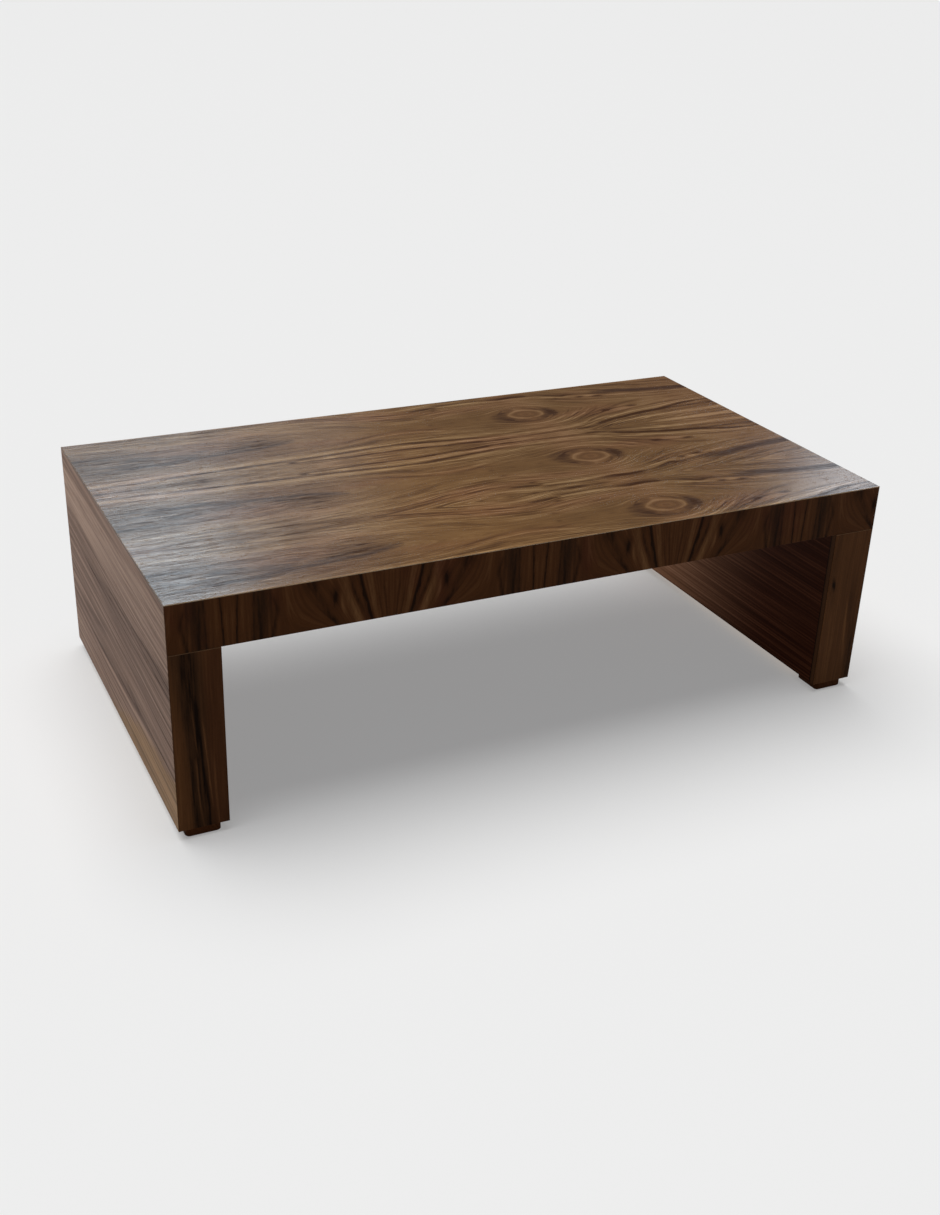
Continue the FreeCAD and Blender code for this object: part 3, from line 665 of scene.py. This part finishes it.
def paintEdge(shader, x, y, z):
    look = edgeLook
    across = foldedAcross(x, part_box("front_edge_leaf_2")[0].x)
    down = tableHigh.z - z
    nearFan = step(across, *look["fanSpan"])
    level = (across - leafFigure["width"]) / (1.0 - down * nearFan * look["fanSpread"])
    level = level + streaks(down, across, look["sway"])
    tone = streaks(down, level, look["bands"]) + streaks(down, level, look["threads"])
    ragged = streaks(down, across, look["ragged"])
    lineAcross = across + ragged * look["raggedEdge"]
    grey = drawLines(down, lineAcross, edgeLines, "grey")
    dark = drawLines(down, lineAcross, edgeLines, "dark")
    dark = addFlecks(dark, down, lineAcross, look["flecks"])
    light = drawLines(down, lineAcross, edgeLines, "light")
    uneven = ragged * look["unevenness"] + 1.0
    tone = tone + (light - dark - grey * look["greyDarkens"]) * uneven + 0.5
    pores = openPores(down, level, look["poreSeed"])
    colour = woodColour(tone, pores, look)
    colour = mixColour(grey * uneven * look["greyStrength"], colour, look["grey"])
    plum = step(streaks(down, x, look["plumClouds"]), *look["plumSpan"])
    colour = mixColour(plum * look["plumStrength"], colour, look["plum"], "MULTIPLY")
    lacquer(shader, colour, tone, pores, tone, look)


# Straight-grained veneer, for the legs, sides, inner faces, underside and feet
poreShift = 8.8  # between a piece's seed and its pores'


def straightGrain(along, across, look, seed):
    level = across + streaks(along, across, look["wave"], seed)
    tone = streaks(along, level, look["bands"], seed) + streaks(along, level, look["threads"], seed) + 0.5
    return tone, openPores(along, level, seed + poreShift)


def drawnGrain(along, across, look, lines, seed):  # straight grain with drawn lines in it
    tone, pores = straightGrain(along, across + along * look["lean"], look, seed)
    ragged = streaks(along, across, look["ragged"], seed)
    lineAcross = across + ragged * look["raggedEdge"]
    drawn = drawLines(along, lineAcross, lines, "light") - drawLines(along, lineAcross, lines, "dark")
    return tone + drawn * (ragged * look["unevenness"] + 1.0), pores, ragged


# Leg fronts and backs: the left one has a dark heart, the right one is plainer
legLook = {
    # painted shade: these shades are far darker than the top's, for faces turned from the light
    "dark": (0.0072, 0.003, 0.0014),
    "plain": (0.06, 0.024, 0.0085),
    "light": (0.145, 0.068, 0.026),
    "poreDark": 0.1,
    "sapStripe": (1.3, 1.24, 1.12),  # times the colour, beside the heart
    "sapEdge": ((0.077, 0.0065), (0.12, 0.0095), (0.2, 0.016), (0.26, 0.02), (0.365, 0.022)),
    "sapSpan": (-0.003, 0.003),
    "sapFade": (0.05, 0.22),
    "redSide": (0.9, 0.78, 0.72),  # and past it
    "redSpan": (0.038, 0.056),
    "paleLeg": (1.28, 1.22, 1.1),
    "seamHighlight": (0.15, 0.085, 0.045),  # pale line at the slab, a painted highlight on the leg band's top arris
    "jointSpan": (0.0013, 0.00078),
    "seamHighlightStrength": 0.8,
    "heartSeed": 61.0,
    "plainSeed": 73.0,
    "lean": 0.0,
    "wave": (0.16, 0.048, 0.008, 0.0),
    "bands": (0.3, 0.014, 0.34, 1.7, 3.0, 0.5),
    "threads": (0.12, 0.003, 0.5, 5.2, *fineGrain),
    "ragged": (0.04, 0.004, 1.0, 3.0, *fineGrain),
    "raggedEdge": 0.003,
    "unevenness": 1.6,
    **dullSatin,
}
heartLines = {  # down from the top, across from the leg's left edge, strength
    "heart": ("dark", 14, (77, 24.5, 42), (140, 26.5, 42), (200, 29, 37), (260, 32, 31), (320, 35, 29),
        (365, 36.5, 31)),
    "heartCore": ("dark", 2.8, (150, 36, 0), (180, 35.5, 22), (220, 38, 26), (260, 40.5, 26),
        (300, 43.5, 30), (340, 45.5, 30), (365, 46, 26)),
    "heartSide": ("dark", 3, (235, 20, 0), (260, 24.5, 18), (300, 24.5, 22), (365, 27, 24)),
    "heartThread": ("light", 1.2, (165, 29, 0), (190, 30.2, 36), (220, 32, 34), (250, 34.5, 0)),
    "lowGleam": ("light", 1.7, (245, 29.5, 0), (270, 31, 42), (310, 32.5, 42), (340, 34.5, 34),
        (365, 37.5, 26)),
    "sideGleam": ("light", 1.4, (180, 42.5, 0), (210, 44.5, 28), (250, 47.2, 34), (290, 49.2, 36),
        (320, 51, 30), (345, 52.5, 0)),
    "redGleam": ("light", 2, (230, 54, 0), (270, 56.5, 18), (320, 58, 18), (365, 60, 12)),
}
plainLines = {
    "knot": ("dark", 2.8, (154, 8, 0), (164, 10, 28), (172, 11.2, 56), (180, 12.5, 28), (188, 13.5, 0)),
    "rightShade": ("dark", 9.5, (150, 64, 0), (200, 59, 18), (240, 61, 22), (280, 67, 28), (365, 71, 32)),
    "leftShade": ("dark", 6, (77, 10, 12), (150, 8, 14), (200, 12, 12), (240, 15, 0)),
    "gleam": ("light", 2.6, (200, 46, 0), (240, 49, 20), (280, 52, 22), (310, 54.5, 16), (340, 55, 0)),
}


def paintLeg(shader, x, y, z, band, lines, hasHeart):
    look = legLook
    seed = look["heartSeed"] if hasHeart else look["plainSeed"]
    bandLow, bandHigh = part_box(band)
    down = tableHigh.z - z
    across = x - bandLow.x
    tone, pores, ragged = drawnGrain(down, across, look, lines, seed)
    colour = woodColour(tone, pores, look)
    if hasHeart:
        across = across + ragged * look["raggedEdge"]
        stripe = 1.0 - step(across - curveThrough(down, look["sapEdge"]), *look["sapSpan"])
        colour = mixColour(stripe * step(down, *look["sapFade"]), colour, look["sapStripe"], "MULTIPLY")
        colour = mixColour(step(across, *look["redSpan"]), colour, look["redSide"], "MULTIPLY")
    else:
        colour = mixColour(1.0, colour, look["paleLeg"], "MULTIPLY")
    # painted highlight along the leg band's top edge at the slab
    seamHighlight = nearEdge(z, bandHigh.z, look["jointSpan"])
    colour = mixColour(seamHighlight * look["seamHighlightStrength"], colour, look["seamHighlight"])
    lacquer(shader, colour, tone, pores, tone, look)


# Outer sides: one sheet, grain from front to back, pale sapwood low at the front
sideLook = {
    # painted sheen: these shades are greyer than the top's, for light glancing off the side
    "dark": (0.048, 0.02, 0.01),
    "plain": (0.165, 0.08, 0.042),
    "light": (0.33, 0.19, 0.115),
    "poreDark": 0.08,
    "sapwood": (0.212, 0.103, 0.024),
    "sapwoodShares": (0.86, 0.3),  # left side and right
    "leftToRight": (-0.1, 0.1),
    "sapwoodTop": (
        (0.0, 0.103), (0.167, 0.088), (0.25, 0.069), (0.306, 0.05), (0.389, 0.026), (0.48, 0.0),
    ),
    "sapwoodSpan": (-0.01, 0.016),
    "sapwoodRagged": 0.05,
    "sapwoodGrain": 1.7,
    "sapwoodLeast": 0.15,
    # painted light: paler towards the back
    "backPaintedLight": (1.18, 1.18, 1.18),
    "backSpan": (0.1, 0.7),
    # a dark line along the sheet's top edge
    "topEdgeDark": (0.02, 0.009, 0.005),
    "topEdgeSpan": (0.0045, 0.0005),  # down from the sheet's top
    "topEdgeStrength": 0.55,
    "endGrain": (0.036, 0.014, 0.005),
    "endSpan": (0.0002, 0.0001),
    "seed": 31.0,
    "lean": 0.03,
    "wave": (0.45, 0.135, 0.016, 0.0),
    "bands": (0.9, 0.03, 0.7, 1.7, 3.0, 0.5),
    "threads": (0.36, 0.0055, 1.5, 5.2, *fineGrain),
    "ragged": (0.08, 0.007, 1.0, 2.0, *fineGrain),
    "raggedEdge": 0.012,
    "unevenness": 1.6,
    "gloss": 0.5,
    "glossVaries": -0.05,
    "shine": 0.1,
    "shineVaries": 1.6,
    "grainDepth": 0.0004,
    "grainFeel": 0.35,
}
sideLines = {  # from the front, down from the top, strength
    "topBand": ("light", 33, (0, 58, 18), (330, 60, 30), (667, 56, 40)),
    "darkBand": ("dark", 30, (0, 132, 16), (150, 140, 16), (400, 160, 10), (667, 170, 4)),
    "darkLine": ("dark", 4, (0, 122, 16), (110, 126, 24), (200, 130, 20), (320, 134, 22), (430, 140, 0)),
    "darkThread": ("dark", 2.6, (0, 106, 22), (130, 109, 26), (300, 112, 20), (480, 113, 20),
        (667, 108, 24)),
    "lowThread": ("dark", 2.8, (0, 146, 10), (140, 148, 24), (290, 146, 20), (450, 152, 12),
        (667, 158, 18)),
    "lowDark": ("dark", 6, (180, 276, 22), (300, 279, 24), (440, 282, 22), (560, 288, 0)),
    "lowGleam": ("light", 5, (90, 285, 0), (160, 288, 26), (260, 292, 30), (400, 294, 24), (560, 300, 0)),
    "wave": ("dark", 5, (400, 235, 0), (440, 237, 20), (480, 243, 20), (530, 244, 16), (600, 236, 0)),
    "knotTrace": ("dark", 5.5, (190, 272, 0), (220, 270, 15), (262, 262, 12), (280, 258, 0)),
}


def paintSide(shader, x, y, z):
    look = sideLook
    deep = y - tableLow.y
    tone, pores, ragged = drawnGrain(deep, tableHigh.z - z, look, sideLines, look["seed"])
    colour = woodColour(tone, pores, look)
    # painted light, paler towards the back
    colour = mixColour(step(deep, *look["backSpan"]), colour, look["backPaintedLight"], "MULTIPLY")
    underTop = curveThrough(deep, look["sapwoodTop"]) - z + ragged * look["sapwoodRagged"]
    share = blendOf(step(x, *look["leftToRight"]), *look["sapwoodShares"])
    grain = tone * look["sapwoodGrain"] + look["sapwoodLeast"]
    sapwood = mixColour(1.0, look["sapwood"], grain, "MULTIPLY")
    colour = mixColour(step(underTop, *look["sapwoodSpan"]) * share, colour, sapwood)
    # darker along the sheet's top edge
    topEdge = nearEdge(z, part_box("left_side_veneer")[1].z, look["topEdgeSpan"])
    colour = mixColour(topEdge * look["topEdgeStrength"], colour, look["topEdgeDark"])
    colour = mixColour(nearEdge(y, tableHigh.y, look["endSpan"]), colour, look["endGrain"])
    lacquer(shader, colour, tone, pores, tone, look)


# Inner faces and underside: fine even stripes
innerLook = {
    # painted shade: darker still than the edges, for faces in the shade under the slab
    "dark": (0.004, 0.001, 0.0004),
    "plain": (0.0205, 0.0047, 0.0015),
    "light": (0.076, 0.026, 0.011),
    "backLitDark": (0.023, 0.0105, 0.0056),  # the same three towards the back, paler: painted light falling in from behind
    "backLitPlain": (0.095, 0.045, 0.024),
    "backLitLight": (0.21, 0.12, 0.078),
    "backLitSpan": (-0.2, 0.22),
    "poreDark": 0.08,
    "lipping": (0.033, 0.0135, 0.0055),  # solid strip behind the leg's front and back
    "lippingSpan": (0.0109, 0.0105),  # in from the front and back
    "lippingLeast": 0.5,
    # the dark joint line's colour, also used for painted shade by the arris
    "jointAndArrisShade": (0.003, 0.001, 0.0005),
    "jointSpan": (0.0135, 0.0115),
    # painted shade close to the front and back arris
    "arrisSpan": (0.003, 0.0015),
    "arrisShadeStrength": 0.6,
    "innerSeed": 47.0,
    "underSeed": 53.0,
    "lippingSeed": 57.0,
    "wave": (0.4, 0.12, 0.006, 0.0),
    "bands": (0.9, 0.012, 0.45, 1.7, 3.0, 0.5),
    "threads": (0.36, 0.0034, 1.1, 5.2, *fineGrain),
    **dullSatin,
    "gloss": 0.66,
    "shine": 0.008,
}


def paintUnder(shader, x, y, z):
    look = innerLook
    tone, pores = straightGrain(x, y, look, look["underSeed"])
    lacquer(shader, woodColour(tone, pores, look), tone, pores, tone, look)


def paintInner(shader, x, y, z):
    look = innerLook
    tone, pores = straightGrain(y, z, look, look["innerSeed"])
    colour = woodColour(tone, pores, look)
    backLit = woodColour(tone, pores, look, ("backLitDark", "backLitPlain", "backLitLight"))
    # painted light: paler towards the back
    colour = mixColour(step(y, *look["backLitSpan"]), colour, backLit)
    upright = straightGrain(z, y, look, look["lippingSeed"])[0]
    lipping = mixColour(1.0, look["lipping"], upright + look["lippingLeast"], "MULTIPLY")
    colour = mixColour(nearEdge(y, tableHigh.y, look["jointSpan"]), colour, look["jointAndArrisShade"])
    colour = mixColour(nearEdge(y, tableHigh.y, look["lippingSpan"]), colour, lipping)
    # painted shade along the arris, in the joint's dark colour
    arris = nearEdge(y, tableHigh.y, look["arrisSpan"])
    colour = mixColour(arris * look["arrisShadeStrength"], colour, look["jointAndArrisShade"])
    lacquer(shader, colour, tone, pores, tone, look)


# Feet: dark stained hardwood
footLook = {
    "dark": (0.016, 0.0052, 0.0016),
    "plain": (0.05, 0.0155, 0.0042),
    "light": (0.095, 0.034, 0.011),
    "poreDark": 0.1,
    "rub": (0.12, 0.06, 0.028),  # stain worn thin at the floor
    "rubHeight": 0.0022,
    "rubPatches": (0.012, 0.012, 1.0, 85.0),
    "rubSpan": (-0.08, 0.12),
    "rubStrength": 0.6,
    "seed": 83.0,
    "slant": 0.6,  # so that the grain shows on the upright faces too
    "wave": (0.05, 0.015, 0.004, 0.0),
    "bands": (0.08, 0.006, 0.6, 1.7, 3.0, 0.5),
    "threads": (0.032, 0.0014, 0.6, 5.2, *fineGrain),
    "gloss": 0.48,
    "glossVaries": -0.08,
    "shine": 0.02,
    "shineVaries": 0.5,
    "grainDepth": 0.0002,
    "grainFeel": 0.3,
}


def paintFoot(shader, x, y, z):
    look = footLook
    tone, pores = straightGrain(y, x + z * look["slant"], look, look["seed"])
    colour = woodColour(tone, pores, look)
    patches = step(streaks(x, y, look["rubPatches"]), *look["rubSpan"])
    worn = (1.0 - step(z, 0.0, look["rubHeight"])) * patches
    colour = mixColour(worn * look["rubStrength"], colour, look["rub"])
    lacquer(shader, colour, tone, pores, tone, look)


# Hidden core: fibreboard panels, softwood frame, beech dowels and zinc screws
def matt(shader, tone, grain, height, look):  # unvarnished
    plug(ramp(tone, look["shades"]), shader.inputs["Base Color"])
    plug(grain * look["roughVaries"] + look["rough"], shader.inputs["Roughness"])
    addBump(shader, height, look)


boardLook = {
    "shades": ((0.2, (0.165, 0.1, 0.054)), (0.8, (0.33, 0.225, 0.135))),  # tone, and its colour
    "fibres": (0.0014, 0.00308, 1.0, 91.0, *fineGrain),
    "fibreSlant": (0.7, 0.4),
    "fibreTone": 0.9,
    "mottle": (0.03, 0.03, 0.7, 93.0, 3.0, 0.5),
    "rough": 0.88,
    "roughVaries": 0.15,
    "shine": 0.2,
    "grainDepth": 0.0002,
    "grainFeel": 0.4,
}


def paintBoard(shader, x, y, z):
    look = boardLook
    slantX, slantY = look["fibreSlant"]
    fibres = streaks(x + z * slantX, y + z * slantY, look["fibres"])
    tone = fibres * look["fibreTone"] + streaks(x + z, y - z, look["mottle"]) + 0.5
    matt(shader, tone, fibres, fibres, look)
    shader.inputs["Specular IOR Level"].default_value = look["shine"]


timberLook = {
    "shades": ((0.0, (0.56, 0.39, 0.21)), (0.9, (0.33, 0.18, 0.075))),  # early wood and late
    "ringWidth": 0.0042,
    "lateSpan": (0.45, 0.92),  # share of a ring where its late wood sets in
    "lateEnd": (0.94, 1.0),
    "lateTone": 0.8,
    "pith": (0.031, -0.047),  # how far off the rings' middle lies
    "sideWave": (0.25, 0.06, 0.006, 97.0),
    "upWave": (0.25, 0.06, 0.006, 98.0),
    "threads": (0.1, 0.0012, 0.5, 99.0, *fineGrain),
    "threadSlant": 0.8,
    "rough": 0.72,
    "roughVaries": -0.1,
    "grainDepth": 0.0002,
    "grainFeel": 0.3,
}


def paintTimber(shader, x, y, z, axis):  # growth rings about a pith that runs along the axis
    look = timberLook
    along, side, up = ((x, y, z), (y, z, x), (z, x, y))[axis]
    side = side - look["pith"][0] + streaks(along, up, look["sideWave"])
    up = up - look["pith"][1] + streaks(along, side, look["upWave"])
    ring = mathNode("FRACT", root(side * side + up * up) / look["ringWidth"])
    late = step(ring, *look["lateSpan"]) * (1.0 - step(ring, *look["lateEnd"]))
    tone = late * look["lateTone"] + streaks(along, side + up * look["threadSlant"], look["threads"])
    matt(shader, tone, tone, tone, look)


dowelLook = {
    "shades": ((0.0, (0.56, 0.34, 0.19)), (1.0, (0.3, 0.15, 0.07))),
    "rays": (0.004, 0.0007, 1.0, 103.0),
    "raySpan": (0.06, 0.22),
    "rayTone": 0.6,
    "rayDepth": 0.3,
    "bands": (0.04, 0.002, 0.8, 105.0, 3.0, 0.5),
    "ground": 0.25,
    "rough": 0.6,
    "roughVaries": 0.15,
    "flutes": 520.0,  # radians a metre round the dowel's girth
    "grainDepth": 0.0005,
    "grainFeel": 0.6,
}


def paintDowel(shader, x, y, z):
    look = dowelLook
    rays = step(streaks(z, x + y, look["rays"]), *look["raySpan"])
    tone = rays * look["rayTone"] + streaks(z, x - y, look["bands"]) + look["ground"]
    flutes = mathNode("SINE", (x + y) * look["flutes"])
    matt(shader, tone, tone, flutes - rays * look["rayDepth"], look)


screwLook = {
    "shades": ((0.2, (0.36, 0.35, 0.31)), (0.8, (0.62, 0.61, 0.57))),
    "clouds": (0.003, 0.003, 1.0, 107.0, *fineGrain),
    "rough": 0.34,
    "roughVaries": 0.25,
    "threadPitch": 0.0016,
    "threadDepth": 0.5,
    "cloudDepth": 0.4,
    "grainDepth": 0.0004,
    "grainFeel": 0.5,
}


def paintScrew(shader, x, y, z):
    look = screwLook
    clouds = streaks(x + z, y - z, look["clouds"])
    thread = mathNode("SINE", z * (2 * math.pi / look["threadPitch"]))
    height = thread * look["threadDepth"] + clouds * look["cloudDepth"]
    matt(shader, clouds + 0.5, clouds, height, look)
    shader.inputs["Metallic"].default_value = 1.0


def dress(material, *words):  # every piece whose name holds one of these words
    for name, piece in nodes.items():
        if any(word in name for word in words):
            piece.data.materials.clear()
            piece.data.materials.append(material)


dress(newFinish("fibreboard", paintBoard), "_panel")
dress(newFinish("softwoodLong", paintTimber, 0), "front_rail", "back_rail", "long_rib")
dress(newFinish("softwoodCross", paintTimber, 1), "end_block", "cross_rib", "top_rail", "bottom_rail")
dress(newFinish("softwoodUpright", paintTimber, 2), "stile", "leg_rib")
dress(newFinish("beechDowel", paintDowel), "dowels")
dress(newFinish("zincScrew", paintScrew), "screws")
print("core dressed")

dress(newFinish("topWalnut", paintTop), "top_leaf")
dress(newFinish("edgeWalnut", paintEdge), "edge_leaf")
heartLeg = newFinish("heartLegWalnut", paintLeg, "left_leg_front_band", heartLines, True)
dress(heartLeg, "left_leg_front_band", "left_leg_back_band")
plainLeg = newFinish("plainLegWalnut", paintLeg, "right_leg_front_band", plainLines, False)
dress(plainLeg, "right_leg_front_band", "right_leg_back_band")
dress(newFinish("sideWalnut", paintSide), "side_veneer")
dress(newFinish("innerWalnut", paintInner), "inner_veneer")
dress(newFinish("underWalnut", paintUnder), "underside_veneer")
dress(newFinish("stainedFoot", paintFoot), "_foot")
bare = [name for name, piece in nodes.items() if not piece.data.materials]
print("veneers and feet dressed, bare pieces:", bare)


# Floor, lights and camera
stageLook = {
    "floor": {
        "Base Color": (0.62, 0.62, 0.615, 1.0),
        "Emission Color": (1.0, 1.0, 1.0, 1.0),
        "Emission Strength": 0.28,  # keeps the shadow light
        "Roughness": 0.9,
        "Specular IOR Level": 0.1,
    },
    "floorReach": 40.0,
    "backdrop": (0.84, 0.843, 0.841),  # what the camera sees past the floor
    "fill": (0.07, 0.072, 0.078),  # what lights the table from there
    "skyStrength": 2.8,
    "skySpread": 60.0,
    "skyFrom": (-0.12, 0.25, 1.0),
}


def addToScene(thing):
    bpy.context.scene.collection.objects.link(thing)


def paintFloor(shader, x, y, z):
    for name, value in stageLook["floor"].items():
        shader.inputs[name].default_value = value


def makeFloor():
    reach = stageLook["floorReach"]
    corners = [(-reach, -reach, 0), (reach, -reach, 0), (reach, reach, 0), (-reach, reach, 0)]
    mesh = bpy.data.meshes.new("floor")
    mesh.from_pydata(corners, [], [(0, 1, 2, 3)])
    floor = bpy.data.objects.new("floor", mesh)
    addToScene(floor)
    mesh.materials.append(newFinish("paleFloor", paintFloor))


def aim(thing, place, target):
    thing.location = place
    thing.rotation_mode = "QUATERNION"
    thing.rotation_quaternion = (Vector(target) - Vector(place)).to_track_quat("-Z", "Y")


tableGroup = bpy.data.collections.new("table")
innerGroup = bpy.data.collections.new("innerFaces")
for name, piece in nodes.items():
    tableGroup.objects.link(piece)
    if "inner_veneer" in name:
        innerGroup.objects.link(piece)

topMiddle = (0, 0, tableHigh.z)
windows = {  # what each lights, place, target, width, height, watts, colour
    "leftWindow": (tableGroup, (-0.1, 2.92, 2.1), topMiddle, 1.12, 0.86, 9.4, (0.62, 0.84, 1.0)),
    "leftSpill": (tableGroup, (0.2, 2.95, 1.62), topMiddle, 1.6, 1.2, 2.7, (0.8, 0.9, 1.0)),
    "nearWindow": (tableGroup, (0.16, 2.92, 2.28), topMiddle, 0.5, 0.55, 3.6, (0.62, 0.84, 1.0)),
    "rightWindow": (tableGroup, (2.64, 1.57, 1.5), topMiddle, 0.95, 0.84, 7.8, (0.72, 0.87, 1.0)),
    "lowGlow": (innerGroup, (0.16, 0.82, 0.1), (0.53, 0.15, 0.05), 0.4, 0.16, 9.0, (1.0, 0.96, 0.94)),
}


def makeLights():
    world = bpy.data.worlds.new("studio")
    world.use_nodes = True
    tree = world.node_tree
    seen = Wire(tree, tree.nodes.new("ShaderNodeLightPath").outputs["Is Camera Ray"])
    around = mixColour(seen, stageLook["fill"], stageLook["backdrop"])
    plug(around, tree.nodes["Background"].inputs["Color"])
    bpy.context.scene.world = world
    sky = bpy.data.objects.new("skylight", bpy.data.lights.new("skylight", "SUN"))
    sky.data.energy = stageLook["skyStrength"]
    sky.data.angle = math.radians(stageLook["skySpread"])
    sky.visible_glossy = False  # no grey veil over the top from above
    aim(sky, stageLook["skyFrom"], (0, 0, 0))
    addToScene(sky)
    for name, (lit, place, target, width, height, watts, colour) in windows.items():
        lamp = bpy.data.objects.new(name, bpy.data.lights.new(name, "AREA"))
        lamp.data.shape = "RECTANGLE"
        lamp.data.size = width
        lamp.data.size_y = height
        lamp.data.energy = watts
        lamp.data.color = colour
        aim(lamp, place, target)
        lamp.light_linking.receiver_collection = lit  # sheen on the table, none on the floor
        lamp.visible_camera = False
        addToScene(lamp)


cameraLook = {  # worked out from the table's straight edges
    "place": (-1.01265, -2.04827, 1.23221),
    "right": (0.900128, -0.434439, 0.032137),
    "down": (-0.164964, -0.408211, -0.897859),
    "lens": 42.443,
    "sensor": 36.0,
}


def makeCamera():
    lens = bpy.data.cameras.new("camera")
    lens.lens = cameraLook["lens"]
    lens.sensor_width = cameraLook["sensor"]
    camera = bpy.data.objects.new("camera", lens)
    right = Vector(cameraLook["right"])
    up = -Vector(cameraLook["down"])
    back = right.cross(up)
    turn = Matrix((right, up, back)).transposed()
    camera.matrix_world = Matrix.Translation(cameraLook["place"]) @ turn.to_4x4()
    addToScene(camera)
    bpy.context.scene.camera = camera


makeFloor()
makeLights()
makeCamera()
bpy.context.scene.view_settings.view_transform = "Standard"
print("floor, lights and camera set")
